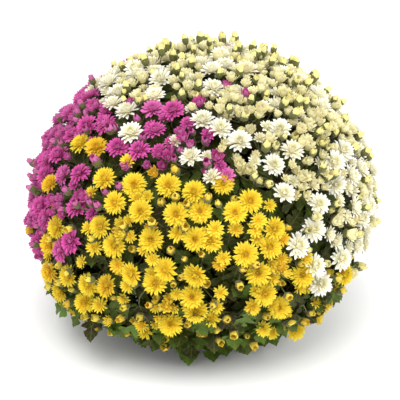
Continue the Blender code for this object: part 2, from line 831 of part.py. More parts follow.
def build_soil(material, collection):
    bottom = POT_FLOOR + TOUCH_GAP
    edge = pot_inside(SOIL_TOP_Z) - TOUCH_GAP
    profile = [
        (0.0, SOIL_TOP_Z + SOIL_CROWN),
        (0.35 * edge, SOIL_TOP_Z + 0.8 * SOIL_CROWN),
        (0.75 * edge, SOIL_TOP_Z + 0.4 * SOIL_CROWN),
        (edge, SOIL_TOP_Z),
        (pot_inside(bottom) - TOUCH_GAP, bottom),
        (0.0, bottom),
    ]
    soil = turned_solid("soil", profile, material, collection)
    cutters = collection_named("planting_holes")
    for plant in PLANTS.values():
        place = (*plant["foot"], SOIL_TOP_Z - STEM_DEPTH - TOUCH_GAP)
        hole_cutter(place, STEM_HOLE_RADIUS, STEM_DEPTH + 4.0 * SOIL_CROWN, 12, cutters)
    cut_with(soil, cutters)
    return soil


# The whole object

def clear_scene():
    for thing in list(bpy.data.objects):
        bpy.data.objects.remove(thing)


def collection_named(name):
    made = bpy.data.collections.new(name)
    bpy.context.scene.collection.children.link(made)
    return made


def finish(name, colour, roughness):
    """A material with one colour."""
    material = bpy.data.materials.new(name)
    material.use_nodes = True
    surface = material.node_tree.nodes["Principled BSDF"]
    surface.inputs["Base Color"].default_value = (*colour, 1.0)
    surface.inputs["Roughness"].default_value = roughness
    return material


def evaluated_tree(thing):
    """A search tree of an object with its modifiers."""
    mesh = bpy.data.meshes.new_from_object(thing.evaluated_get(bpy.context.evaluated_depsgraph_get()))
    work = bmesh.new()
    work.from_mesh(mesh)
    tree = BVHTree.FromBMesh(work)
    work.free()
    bpy.data.meshes.remove(mesh)
    return tree


def main():
    clear_scene()
    parts = collection_named("pot_chrysanthemum")
    pot = build_pot(finish("pot_plastic", POT_COLOUR, 0.5), parts)
    soil = build_soil(finish("peat", SOIL_COLOUR, 0.95), parts)
    names = list(PLANTS)
    petals = {name: finish(name + "_petals", PLANTS[name]["colour"], 0.6) for name in names}
    head = heads()
    corners, rings = cells_around(np.vstack([head["site"], ghost_sites()]))
    sprays, windows = sprays_and_windows(head, rings)
    numbers = dict.fromkeys(names, 0)
    seats = {name: [] for name in names}
    solids = []
    for spray in sprays:
        colour = names[spray["plant"]]
        numbers[colour] += 1
        name = f"{colour}_spray_{numbers[colour]:02d}"
        made = build_spray(name, head, spray["members"], corners, rings, petals[colour], parts)
        seats[colour].append(seat_of(head, spray["members"]))
        solids.append(tree_of(made))
    bpy.context.view_layer.update()
    solids += [evaluated_tree(pot), evaluated_tree(soil)]
    green = finish("leaf_green", GREEN, 0.7)
    plants = {}
    for name in names:
        plants[name] = Plant(name, green, parts)
    for name in names:
        others = [tree for plant in plants.values() if plant.name != name for tree in plant.trees]
        plants[name].grow_limbs(seats[name], solids + others)
    window_leaves(windows, head, plants, names, solids)
    skirt_leaves(plants, names, solids)
    for name in names:
        made = plants[name].join()
        print(made.name, sum(len(face.vertices) - 2 for face in made.data.polygons))


main()
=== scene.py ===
# %% [markdown]
# # Pot chrysanthemum
# Three small-flowered chrysanthemums, one yellow, one magenta and one white, were set in one pot and
# pinched until they grew into a single dome of blooms. This notebook dresses the solid model of that plant
# with its real surface: every petal, bud, cut leaf and stalk. The solid model stays the measure. It says
# where each spray of blooms stands and how large the whole plant is, and nothing here moves or resizes it.

# %% Load the frame
import json
import math

import bmesh
import bpy
import numpy as np
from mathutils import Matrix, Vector

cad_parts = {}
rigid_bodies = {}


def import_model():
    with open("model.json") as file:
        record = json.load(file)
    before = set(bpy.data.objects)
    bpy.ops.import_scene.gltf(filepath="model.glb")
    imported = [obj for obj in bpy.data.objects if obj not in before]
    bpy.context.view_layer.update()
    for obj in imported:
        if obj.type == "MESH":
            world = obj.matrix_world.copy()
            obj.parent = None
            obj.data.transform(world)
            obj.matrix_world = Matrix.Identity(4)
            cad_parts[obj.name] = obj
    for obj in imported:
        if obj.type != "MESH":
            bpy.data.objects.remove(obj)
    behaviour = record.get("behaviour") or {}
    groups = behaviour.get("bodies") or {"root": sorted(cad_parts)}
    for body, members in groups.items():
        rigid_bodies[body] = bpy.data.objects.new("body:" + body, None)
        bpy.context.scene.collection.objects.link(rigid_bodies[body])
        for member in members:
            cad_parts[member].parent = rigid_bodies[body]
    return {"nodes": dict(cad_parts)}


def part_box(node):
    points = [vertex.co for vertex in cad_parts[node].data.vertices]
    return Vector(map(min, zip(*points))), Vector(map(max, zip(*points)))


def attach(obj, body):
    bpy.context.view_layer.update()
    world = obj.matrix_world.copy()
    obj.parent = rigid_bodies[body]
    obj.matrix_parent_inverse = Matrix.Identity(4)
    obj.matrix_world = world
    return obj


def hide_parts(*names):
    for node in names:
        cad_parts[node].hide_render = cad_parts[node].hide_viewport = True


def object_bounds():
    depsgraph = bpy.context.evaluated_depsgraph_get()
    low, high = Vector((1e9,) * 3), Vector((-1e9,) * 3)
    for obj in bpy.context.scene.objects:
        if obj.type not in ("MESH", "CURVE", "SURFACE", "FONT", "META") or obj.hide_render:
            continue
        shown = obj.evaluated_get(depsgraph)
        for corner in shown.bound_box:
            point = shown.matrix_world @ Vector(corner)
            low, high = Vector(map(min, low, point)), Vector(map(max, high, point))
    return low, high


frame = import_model()
CAD_BOX = [list(corner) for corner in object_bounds()]
print("solid nodes:", len(frame["nodes"]), "box:", np.round(CAD_BOX, 4).tolist())

# %% [markdown]
# ## Camera, floor and light
# The photograph looks a little down on the plant, from about two arm lengths away, so the front of the dome
# and its crown both show. A long lens from that distance keeps the dome round. The camera aims a few pixels
# beside the middle of the dome, because the plant isn't quite in the middle of the picture. The light is a
# plain photo studio: one wide soft lamp above and in front, a weaker one at the side, and a white room that
# fills the shadows.

# %% Camera
DOME_HEART_Z = 0.196  # height of the dome's widest belt
IMAGE_SIZE = 400  # pixels of the square picture
DOME_MIDDLE_PIXEL = (202, 195)  # where the picture shows the middle of the dome
PIXELS_PER_METRE = 718  # there, at the dome's middle
CAMERA_DISTANCE = 1.70
CAMERA_RISE = math.radians(24.0)
SENSOR_WIDTH = 36.0

dome_heart = Vector((0.0, 0.0, DOME_HEART_Z))
to_camera = Vector((0.0, -math.cos(CAMERA_RISE), math.sin(CAMERA_RISE)))
picture_up = Vector((0.0, math.sin(CAMERA_RISE), math.cos(CAMERA_RISE)))
across = (IMAGE_SIZE / 2 - DOME_MIDDLE_PIXEL[0]) / PIXELS_PER_METRE
upward = (DOME_MIDDLE_PIXEL[1] - IMAGE_SIZE / 2) / PIXELS_PER_METRE
aim = dome_heart + Vector((1.0, 0.0, 0.0)) * across + picture_up * upward
lens = bpy.data.cameras.new("camera")
lens.sensor_width = SENSOR_WIDTH
lens.lens = SENSOR_WIDTH * PIXELS_PER_METRE * CAMERA_DISTANCE / IMAGE_SIZE
camera = bpy.data.objects.new("camera", lens)
camera.location = aim + to_camera * CAMERA_DISTANCE
camera.rotation_euler = to_camera.to_track_quat("Z", "Y").to_euler()
bpy.context.scene.collection.objects.link(camera)
bpy.context.scene.camera = camera
print("lens:", round(lens.lens, 1), "mm, camera at", [round(value, 3) for value in camera.location])

# %% Colours and nodes
PAPER_WHITE = "#f6f6f6"


def linear(colour):
    """An sRGB hex colour as linear red, green, blue and alpha."""
    shares = [int(colour[start:start + 2], 16) / 255 for start in (1, 3, 5)]
    light = [share / 12.92 if share <= 0.04045 else ((share + 0.055) / 1.055) ** 2.4 for share in shares]
    return (*light, 1.0)


def add(tree, kind, wires=None, **settings):
    """Adds a node with its settings. Each wire enters an input, named or numbered, from a node or a value."""
    node = tree.nodes.new(kind)
    for name, value in settings.items():
        setattr(node, name, value)
    for key, source in (wires or {}).items():
        live = [socket for socket in node.inputs if socket.enabled]
        target = live[key] if isinstance(key, int) else next(socket for socket in live if socket.name == key)
        if isinstance(source, bpy.types.Node):
            source = next(socket for socket in source.outputs if socket.enabled)
        if isinstance(source, bpy.types.NodeSocket):
            tree.links.new(source, target)
        else:
            target.default_value = source
    return node


def new_material(name):
    """A material with an empty node tree."""
    material = bpy.data.materials.new(name)
    material.use_nodes = True
    material.node_tree.nodes.clear()
    return material, material.node_tree


print("white paper is", [round(value, 3) for value in linear(PAPER_WHITE)])

# %% Floor
FLOOR_HALF = 6.0
PAPER_CLOUD = 1 / 60  # metres: the paper's fibres lie in soft patches of 17 mm

paper, tree = new_material("matt_studio_paper")
texture = add(tree, "ShaderNodeTexCoord")
fibres = add(tree, "ShaderNodeTexNoise", {
    "Vector": texture.outputs["Object"], "Scale": 1.0 / PAPER_CLOUD, "Detail": 3.0,
})
relief = add(tree, "ShaderNodeBump", {"Height": fibres, "Strength": 0.05, "Distance": 0.0005})
surface = add(tree, "ShaderNodeBsdfPrincipled", {
    "Base Color": linear(PAPER_WHITE), "Roughness": 0.9, "Specular IOR Level": 0.2, "Normal": relief,
})
add(tree, "ShaderNodeOutputMaterial", {"Surface": surface})

sheet = bmesh.new()
bmesh.ops.create_grid(sheet, x_segments=2, y_segments=2, size=FLOOR_HALF)
floor_mesh = bpy.data.meshes.new("floor")
sheet.to_mesh(floor_mesh)
sheet.free()
floor_mesh.materials.append(paper)
floor = bpy.data.objects.new("floor", floor_mesh)
bpy.context.scene.collection.objects.link(floor)
print("floor:", 2.0 * FLOOR_HALF, "m wide")

# %% Studio light
STUDIO_WHITE = "#ffffff"
ROOM_STRENGTH = 1.0
LAMPS = {
    "key": {"place": (-0.35, -1.4, 2.4), "size": 1.8, "watts": 54.0},
    "side": {"place": (1.9, -1.0, 1.4), "size": 1.2, "watts": 26.0},
}

room = bpy.data.worlds.new("white_room")
room.use_nodes = True
room.node_tree.nodes.clear()
glow = add(room.node_tree, "ShaderNodeBackground", {"Color": linear(STUDIO_WHITE), "Strength": ROOM_STRENGTH})
add(room.node_tree, "ShaderNodeOutputWorld", {"Surface": glow})
bpy.context.scene.world = room
bpy.context.scene.view_settings.view_transform = "Standard"

for name, lamp in LAMPS.items():
    light = bpy.data.lights.new(name, "AREA")
    light.shape = "DISK"
    light.size = lamp["size"]
    light.energy = lamp["watts"]
    holder = bpy.data.objects.new(name, light)
    holder.location = lamp["place"]
    holder.rotation_euler = (Vector(lamp["place"]) - dome_heart).to_track_quat("Z", "Y").to_euler()
    bpy.context.scene.collection.objects.link(holder)
print("lamps:", sorted(LAMPS))

# %% [markdown]
# ## Where the heads stand
# A chrysanthemum's bloom is a whole head of small florets, so a grower calls it a head. The heads of these
# plants share the dome evenly, because each shoot grows towards light that its neighbours leave. The solid
# model places them by a rule: random tries that keep their distance and then push each other apart. The
# same rule with the same seed is repeated here, so that every petal lands on its own solid head. Reading
# the places back from the solid would also work, but then a reader couldn't see why they are there.

# %% The dome
DOME_REACH = 0.239  # half width at the bloom faces
DOME_RISE = 0.208  # half height at the bloom faces
DOME_LEAN = 0.09  # how much the upper dome climbs towards the white side, per metre of +X
LEAN_START = 0.35  # it sets in so far below the belt, in the vertical part of a direction


def unit(vectors):
    """The same vectors, each one metre long."""
    return vectors / np.linalg.norm(vectors, axis=-1, keepdims=True)


def dome_point(directions, drop=0.0):
    """Points of the dome in these directions, at a depth below the bloom faces."""
    directions = np.asarray(directions, float)
    reach = DOME_REACH - drop
    rise = DOME_RISE - drop
    x = reach * directions[..., 0]
    y = reach * directions[..., 1]
    z = rise * directions[..., 2]
    upper = np.clip(directions[..., 2] + LEAN_START, 0.0, 1.0)
    z = z + DOME_LEAN * x * upper
    return np.stack([x, y, z + DOME_HEART_Z], axis=-1)


def dome_normal(directions):
    """Which way the dome faces in these directions."""
    directions = np.asarray(directions, float)
    return unit(directions / np.array([DOME_REACH, DOME_REACH, DOME_RISE]))


print("the dome's top is", round(float(dome_point([0.0, 0.0, 1.0])[2]) * 1000), "mm high")

# %% Which plant covers what
COLOURS = ("yellow", "magenta", "white")
YELLOW, MAGENTA, WHITE = range(3)
PLANT_SIDES = (  # yellow, front and back magenta: a direction, and where along it they start
    (-0.256, -0.772, -0.581, 0.366), (-0.783, -0.617, 0.078, 0.449), (-0.86, 0.42, -0.10, 0.50),
)
BORDER_WAVE = 0.05  # how far the borders between the plants wave to and fro
WAVE_SIDES = (1.0, -1.0, 1.0)


def plant_of(directions):
    """Which plant covers each direction."""
    x, y, z = np.moveaxis(np.asarray(directions, float), -1, 0)
    wave = BORDER_WAVE * np.sin(9.0 * x + 2.0) * np.cos(7.0 * y + 4.0 * z)
    yellow, front, back = (
        along_x * x + along_y * y + along_z * z + side * wave > start
        for (along_x, along_y, along_z, start), side in zip(PLANT_SIDES, WAVE_SIDES)
    )
    return np.where(yellow, YELLOW, np.where(front | back, MAGENTA, WHITE))


print("the plant on top:", COLOURS[int(plant_of([0.0, 0.0, 1.0]))])

# %% Even places for the heads
LOWEST_BLOOM = -0.66  # vertical part of the lowest bloom's direction
SITE_TRIES = 9000
SITE_NEAREST = 0.80  # a try is dropped closer than this share of the spacing
SITE_ROUNDS = 60  # rounds in which sites that are too close push each other away
SITE_REACH = 1.08
SITE_STEP = 0.35
SITE_SPACING = (0.0335, 0.0320, 0.0332)
CROWN_SPACING = 0.0298
CROWN_FROM = 0.55  # vertical part of the directions where the white heads crowd


def spacing_at(directions):
    """Distance wanted between neighbouring heads."""
    wanted = np.array(SITE_SPACING)[plant_of(directions)]
    crown = (plant_of(directions) == WHITE) & (directions[..., 2] > CROWN_FROM)
    return np.where(crown, CROWN_SPACING, wanted)


def scattered_sites(draw):
    """Directions of the heads: random tries that keep their distance, then evened out."""
    tries = unit(draw.normal(size=(SITE_TRIES, 3)))
    tries = tries[tries[:, 2] > LOWEST_BLOOM]
    places = dome_point(tries)
    spacing = spacing_at(tries)
    kept = []
    for index in range(len(tries)):
        if kept:
            near = np.linalg.norm(places[kept] - places[index], axis=1)
            if (near < SITE_NEAREST * spacing[index]).any():
                continue
        kept.append(index)
    sites = tries[kept]
    for _ in range(SITE_ROUNDS):
        places = dome_point(sites)
        spacing = spacing_at(sites)
        apart = places[:, None] - places[None]
        distance = np.linalg.norm(apart, axis=2) + np.eye(len(sites))
        wanted = SITE_REACH * 0.5 * (spacing[:, None] + spacing[None])
        push = np.clip(wanted - distance, 0.0, None)
        np.fill_diagonal(push, 0.0)
        move = (apart / distance[..., None] * push[..., None]).sum(axis=1)
        sites = unit(sites + SITE_STEP * move / DOME_REACH)
        low = sites[:, 2] < LOWEST_BLOOM
        sites[low, 2] = LOWEST_BLOOM
        sites = unit(sites)
    return sites


print("heads stand", [round(spacing * 1000, 1) for spacing in SITE_SPACING], "mm apart, by plant")

# %% The main heads of each plant
SITE_SEED = 7
LARGEST_BLOOM = (0.0160, 0.0148, 0.0148)
BLOOM_SHARES = (0.90, 1.0)
BLOOM_GAP = 0.0006
CUP_RADIUS = 0.0088
CUP_SHARES = (0.14, 0.18, 0.22)  # half-open heads among the main ones, by plant
CROWN_CUPS = 0.42  # how many more of them the white crown has
CUP_CROWN_START = 0.35
CUP_CROWN_WIDTH = 0.4
CUP_CROWN_EDGE = 0.75
HEAD_HEIGHT_JITTER = 0.0030


def heads():
    """Every main head: its direction, plant, form, radius, height and turn, from one seeded rule."""
    draw = np.random.default_rng(SITE_SEED)
    sites = scattered_sites(draw)
    count = len(sites)
    plant = plant_of(sites)
    places = dome_point(sites)
    distance = np.linalg.norm(places[:, None] - places[None], axis=2)
    np.fill_diagonal(distance, 1.0)
    room_left = 0.5 * distance.min(axis=1) - BLOOM_GAP
    radius = np.minimum(room_left, np.array(LARGEST_BLOOM)[plant]) * draw.uniform(*BLOOM_SHARES, count)
    crown = np.clip((sites[:, 2] - CUP_CROWN_START) / CUP_CROWN_WIDTH, 0.0, 1.0)
    crown = crown * np.clip(sites[:, 0] + CUP_CROWN_EDGE, 0.0, 1.0)
    cup_share = np.array(CUP_SHARES)[plant] + (plant == WHITE) * CROWN_CUPS * crown
    is_cup = draw.uniform(size=count) < cup_share
    radius = np.where(is_cup, np.minimum(radius, CUP_RADIUS), radius)
    lift = draw.uniform(-HEAD_HEIGHT_JITTER, HEAD_HEIGHT_JITTER, count)
    turn = draw.uniform(0.0, 2.0 * math.pi, count)
    return {"site": sites, "plant": plant, "cup": is_cup, "radius": radius, "lift": lift, "turn": turn}


main = heads()
print("heads:", len(main["plant"]), "of them half open:", int(main["cup"].sum()))

# %% [markdown]
# ## Which spray each head belongs to
# The heads grow in sprays, about a dozen on one side branch, and each spray is one solid. The middle of
# every solid head is a corner of its spray's mesh, so the nearest corner of all the sprays names the spray.
# Where no corner is near, the solid has a window between sprays, where leaves come out and no head stands.
# The lowest corner of a spray, seen from the heart of the dome, is its seat on the branch.

# %% Sprays and their seats
CENTRE_RISE = 0.0035
CUP_CENTRE_DROP = 0.0030
SAME_PLACE = 0.0012  # a head's middle lies within this distance of its solid's corner

spray_names = sorted(name for name in frame["nodes"] if "_spray_" in name)
corner_sets = {}
for name in spray_names:
    mesh = frame["nodes"][name].data
    corners = np.empty(len(mesh.vertices) * 3, np.float32)
    mesh.vertices.foreach_get("co", corners)
    corner_sets[name] = corners.reshape(-1, 3).astype(float)
normal = dome_normal(main["site"])
crown_rise = main["lift"] + np.where(main["cup"], -CUP_CENTRE_DROP, CENTRE_RISE)
crowns = dome_point(main["site"]) + normal * crown_rise[:, None]
nearest = np.stack([
    np.linalg.norm(crowns[:, None] - corner_sets[name][None], axis=2).min(axis=1) for name in spray_names
], axis=1)
main["spray"] = np.where(nearest.min(axis=1) < SAME_PLACE, nearest.argmin(axis=1), -1)
seats = []
for name in spray_names:
    depth = np.linalg.norm(corner_sets[name] - np.array(dome_heart), axis=1)
    seats.append(corner_sets[name][depth.argmin()])
seats = np.array(seats)
spray_colour = np.array([COLOURS.index(name.split("_")[0]) for name in spray_names])
windows = np.flatnonzero(main["spray"] < 0)
print("sprays:", len(spray_names), "windows:", len(windows), "largest miss:",
      round(float(nearest.min(axis=1)[main["spray"] >= 0].max()) * 1000, 3), "mm")

# %% [markdown]
# ## Where the bush isn't round
# The solid is an even dome. The real bush grew flatter on its right shoulder, a little flatter on top and
# on the left, and is drawn in below the shoulder, while its lower left flank swells out. These are soft
# forms of one or two centimetres, and each is one bump with a middle, a height and a width. They move heads
# and leaves alike, so that none is left standing out of the others.

# %% Hollows and swells
SWELLS = (  # direction from the dome's middle, how far out in metres, and width in radians
    ((0.78, 0.20, 0.60), -0.021, 0.42),
    ((0.05, 0.10, 0.99), -0.006, 0.45),
    ((0.91, -0.15, -0.39), -0.016, 0.16),
    ((-0.98, -0.05, 0.12), -0.009, 0.30),
    ((-0.79, -0.22, -0.57), 0.017, 0.20),
)


def bush_point(ways, drop=0.0):
    """Points of the real bush in these directions: the even dome with its hollows and swells."""
    ways = np.asarray(ways, float)
    for middle, rise, width in SWELLS:
        angle = np.arccos(np.clip(ways @ unit(np.array(middle)), -1.0, 1.0))
        drop = drop - rise * np.exp(-0.5 * (angle / width) ** 2)
    return dome_point(ways, drop)


moved = np.linalg.norm(bush_point(main["site"]) - dome_point(main["site"]), axis=1) * 1000
print("heads moved by more than 5 mm:", int((moved > 5.0).sum()), "most:", round(float(moved.max()), 1), "mm")

# %% [markdown]
# ## Openings in the bush
# The blooms don't close over the whole dome. They crowd into clumps and chains, and between these the bush
# opens on dark stalks and leaves. No rule gives those openings, so they are read off the picture, each as a
# round spot in its pixels. A head in the middle of a spot is left out, and its neighbours lean away from
# it, along the dome.

# %% Between the plant and its picture
def pixels_of(places):
    """Where the picture shows these places."""
    offset = places - np.array(camera.location)
    scale = PIXELS_PER_METRE * CAMERA_DISTANCE / -(offset @ np.array(to_camera))
    right = IMAGE_SIZE / 2 + offset[:, 0] * scale
    down = IMAGE_SIZE / 2 - offset @ np.array(picture_up) * scale
    return np.stack([right, down], axis=1)


def shown(places, least=0.03):
    """Which places are on the side that the picture shows, at least so far in front of the dome's middle."""
    return (places - np.array(dome_heart)) @ np.array(to_camera) > least


def way_to(places):
    """The dome's direction to each place, which undoes dome_point."""
    offset = places - np.array(dome_heart)
    shape = np.array([DOME_REACH, DOME_REACH, DOME_RISE])
    upper = np.clip(unit(offset / shape)[:, 2] + LEAN_START, 0.0, 1.0)
    offset[:, 2] -= DOME_LEAN * offset[:, 0] * upper
    return unit(offset / shape)


print("the heart is at pixel", np.round(pixels_of(np.array([dome_heart]))[0], 1).tolist())

# %% Openings
OPENINGS = (  # across, down and radius, in pixels of the picture
    (80, 224, 6), (118, 187, 5), (134, 238, 5), (96, 275, 5), (146, 266, 5), (140, 299, 6), (166, 232, 6),
    (183, 254, 8), (172, 285, 5), (222, 275, 9), (242, 264, 6), (232, 300, 8), (250, 243, 5), (210, 222, 4),
    (296, 222, 12), (318, 246, 9), (286, 289, 10), (330, 272, 8), (362, 262, 10), (264, 186, 5), (170, 96, 5),
    (298, 115, 5), (318, 150, 6), (342, 196, 5),
)
OPENING_CORE = 0.9  # a head nearer to a spot's middle than this share of its radius is left out
LARGEST_PUSH = 0.009  # how far its neighbours lean away at most


def in_opening(places, share=1.0):
    """Which places the picture shows in an opening."""
    found = np.zeros(len(places), bool)
    for right, down, reach in OPENINGS:
        found |= np.linalg.norm(pixels_of(places) - (right, down), axis=1) < share * reach
    return found & shown(places, 0.0)


def leaning_away(places, radius):
    """The heads beside an opening lean away from it, as far as their petals reach into it."""
    moved = places.copy()
    for right, down, reach in OPENINGS:
        away = pixels_of(moved) - (right, down)
        distance = np.maximum(np.linalg.norm(away, axis=1), 0.1)
        push = np.clip((reach - distance) / PIXELS_PER_METRE + radius, 0.0, LARGEST_PUSH) * shown(moved, 0.0)
        away /= distance[:, None]
        step = away[:, :1] * [[1.0, 0.0, 0.0]] - away[:, 1:] * [picture_up]
        moved += step * push[:, None]
    return moved


print("openings:", len(OPENINGS), "main heads in them:", int(in_opening(bush_point(main["site"])).sum()))

# %% [markdown]
# ## Half-open heads and buds between the blooms
# A plant in full flower still carries heads of every age. Between three open blooms there is a gap, and in
# it stands a younger head or a bud. Those gaps are the corners of the cells round the heads, and a convex
# hull of the heads' directions finds them: each of its triangles joins three neighbours, and the triangle's
# own direction points at the gap. On the crown of the white plant most heads are still half open, and
# younger ones crowd round each of them. Towards the lower edge the blooms get fewer, and leaves and single
# buds take their place.

# %% Gaps between the heads
FILL_SEED = 31
GAP_BELOW = 0.06  # gaps reach so much lower than the lowest bloom

fill_draw = np.random.default_rng(FILL_SEED)
hull = bmesh.new()
for direction in main["site"]:
    hull.verts.new(direction)
bmesh.ops.convex_hull(hull, input=hull.verts)
bmesh.ops.triangulate(hull, faces=hull.faces)
hull.verts.index_update()
trios = np.array([[vert.index for vert in face.verts] for face in hull.faces])
hull.free()
trio_places = main["site"][trios]
gap_way = unit(np.cross(trio_places[:, 1] - trio_places[:, 0], trio_places[:, 2] - trio_places[:, 0]))
gap_way *= np.sign((gap_way * trio_places[:, 0]).sum(axis=1))[:, None]
low_enough = gap_way[:, 2] > LOWEST_BLOOM - GAP_BELOW
gap_way = gap_way[low_enough]
gap_beside = trio_places[low_enough, 0]
print("gaps between heads:", len(gap_way))

# %% Which way a head faces, and which way it is turned
LEAN_UP = 0.38  # how much a head turns from the dome's own direction towards the sky
LEAN_UP_BELOW = 0.80  # how much more a head turns up at the dome's underside
LEAN_ANYWHERE = 0.20
UPRIGHT = 0.9  # a direction whose vertical part is larger than this is too steep to turn round
SKY = np.array([0.0, 0.0, 1.0])


def leaning(ways, draw):
    """Which way heads face: out of the dome, towards the sky and most so below, and a little at random."""
    up = LEAN_UP + LEAN_UP_BELOW * np.clip(-ways[:, 2], 0.0, None)
    return unit(dome_normal(ways) + up[:, None] * SKY + draw.normal(scale=LEAN_ANYWHERE, size=ways.shape))


def side_of(faces, turns):
    """A direction square to each face, turned round it."""
    flat = unit(np.cross(np.where(np.abs(faces[:, 2:]) > UPRIGHT, [[1.0, 0.0, 0.0]], [SKY]), faces))
    return flat * np.cos(turns)[:, None] + np.cross(faces, flat) * np.sin(turns)[:, None]


lowest_lean = LEAN_UP - LEAN_UP_BELOW * LOWEST_BLOOM
print("heads lean up by", LEAN_UP, "on the belt and by", round(lowest_lean, 2), "at the lowest bloom")

# %% The main heads, gathered and thinned
NEAR_BLOOM = {"yellow": 0.0060, "magenta": 0.0045, "white": 0.0035}  # heads of a spray lean to each other
OPEN, SMALL, HALF, BUD = range(4)
STAGE_NAMES = ("open", "small", "half open", "bud")
THIN_BELOW = -0.30  # below this the blooms get fewer and smaller, and leaves show
THIN_SHARES = (0.24, 0.16, 0.0, 0.34, 0.26)  # open, small and half-open heads, buds and nothing there
THIN_SIZE = 0.8
GAP_RADIUS = {SMALL: (0.0090, 0.0128), HALF: (0.0054, 0.0080), BUD: (0.0038, 0.0058)}


def gathered_in(places, spray, colour):
    """Heads of one spray lean to their nearest sister and stand in twos and threes, with gaps between."""
    moved = places.copy()
    reach = np.array([NEAR_BLOOM[name] for name in COLOURS])[colour]
    for index in range(len(places)):
        same = np.flatnonzero((spray == spray[index]) & (np.arange(len(places)) != index))
        if len(same) == 0:
            continue
        way = places[same] - places[index]
        distance = np.linalg.norm(way, axis=1)
        pick = distance.argmin()
        moved[index] += way[pick] / distance[pick] * reach[index]
    return moved


own = main["spray"] >= 0
blooms = {
    "way": main["site"][own],
    "colour": spray_colour[main["spray"][own]],
    "spray": main["spray"][own],
    "stage": np.where(main["cup"][own], HALF, OPEN),
    "radius": main["radius"][own],
    "turn": main["turn"][own],
}
blooms["place"] = bush_point(blooms["way"]) + dome_normal(blooms["way"]) * main["lift"][own][:, None]
blooms["place"] = gathered_in(blooms["place"], blooms["spray"], blooms["colour"])
kept = ~in_opening(blooms["place"], OPENING_CORE)
blooms = {key: values[kept] for key, values in blooms.items()}
lift = main["lift"][own][kept]
blooms["way"] = way_to(leaning_away(blooms["place"], blooms["radius"]))
blooms["place"] = bush_point(blooms["way"]) + dome_normal(blooms["way"]) * lift[:, None]
print("main heads:", len(blooms["stage"]), "left out in openings:", int((~kept).sum()))

low = blooms["way"][:, 2] < THIN_BELOW
blooms["stage"][low] = fill_draw.choice(len(THIN_SHARES), size=low.sum(), p=THIN_SHARES)
blooms["radius"][low & (blooms["stage"] == SMALL)] *= THIN_SIZE
blooms["radius"][blooms["stage"] == BUD] = GAP_RADIUS[BUD][1]
blooms = {key: values[blooms["stage"] <= BUD] for key, values in blooms.items()}
print("main heads after thinning:", len(blooms["stage"]))

# %% Heads in the gaps
GAP_SHARES = np.array([  # small open heads, half-open heads and buds in the gaps of each colour
    [0.58, 0.06, 0.34], [0.34, 0.26, 0.24], [0.36, 0.26, 0.24],
])
CROWN_SHARES = np.array([0.12, 0.62, 0.24])
GAP_CROWN_START = 0.30  # the crown's shares set in here and reach their full value this much higher
GAP_CROWN_WIDTH = 0.35
EDGE_SHARES = np.array([0.04, 0.06, 0.42])
RAISED_BUD = 0.008  # buds of the upper dome stand this much higher still
GAP_DROP = {SMALL: (0.001, 0.007), HALF: (-0.005, 0.007), BUD: (-0.011, 0.010)}
TUCKED = 0.25  # how far a small head moves from its gap's middle to a neighbour
OPENING_EDGE = 1.3  # up to this share of an opening's radius only buds stand


def drawn(limits, stages):
    """One random size for each head, within the limits of its stage."""
    return np.array([fill_draw.uniform(*limits[stage]) for stage in stages])


crown = np.clip((gap_way[:, 2] - GAP_CROWN_START) / GAP_CROWN_WIDTH, 0.0, 1.0) * (plant_of(gap_way) == WHITE)
shares = GAP_SHARES[plant_of(gap_way)] * (1.0 - crown[:, None]) + CROWN_SHARES * crown[:, None]
shares[gap_way[:, 2] < THIN_BELOW] = EDGE_SHARES
chance = fill_draw.uniform(size=len(gap_way))
gap_stage = SMALL + (chance[:, None] > np.cumsum(shares, axis=1)).sum(axis=1)
gap_stage[in_opening(bush_point(gap_way), OPENING_EDGE) & (gap_stage < BUD)] = BUD
filled = gap_stage <= BUD
gap_stage = gap_stage[filled]
count = len(gap_stage)
gap_way = gap_way[filled] + (gap_beside[filled] - gap_way[filled]) * TUCKED * (gap_stage == SMALL)[:, None]
gap_way = unit(gap_way)
gap_radius = drawn(GAP_RADIUS, gap_stage)
gap_drop = drawn(GAP_DROP, gap_stage)
gap_drop -= RAISED_BUD * (gap_stage == BUD) * np.clip(gap_way[:, 2], 0.0, 1.0)
gap_place = bush_point(gap_way) - dome_normal(gap_way) * gap_drop[:, None]
from_main = np.linalg.norm(gap_place[:, None] - blooms["place"][None], axis=2)
gap_spray = blooms["spray"][from_main.argmin(axis=1)]
extra = {
    "way": gap_way, "colour": spray_colour[gap_spray], "spray": gap_spray, "stage": gap_stage,
    "radius": gap_radius, "turn": fill_draw.uniform(0.0, 2.0 * math.pi, count), "place": gap_place,
}
print("heads in the gaps:", count)

# %% Younger sisters of the half-open heads
SISTERS = 4  # younger heads round each half-open one
SISTER_DISTANCE = (0.0100, 0.0150)
SISTER_SHARES = (0.22, 0.50, 0.28)
SISTER_JITTER = 0.3
LARGEST_SISTER = 0.0095

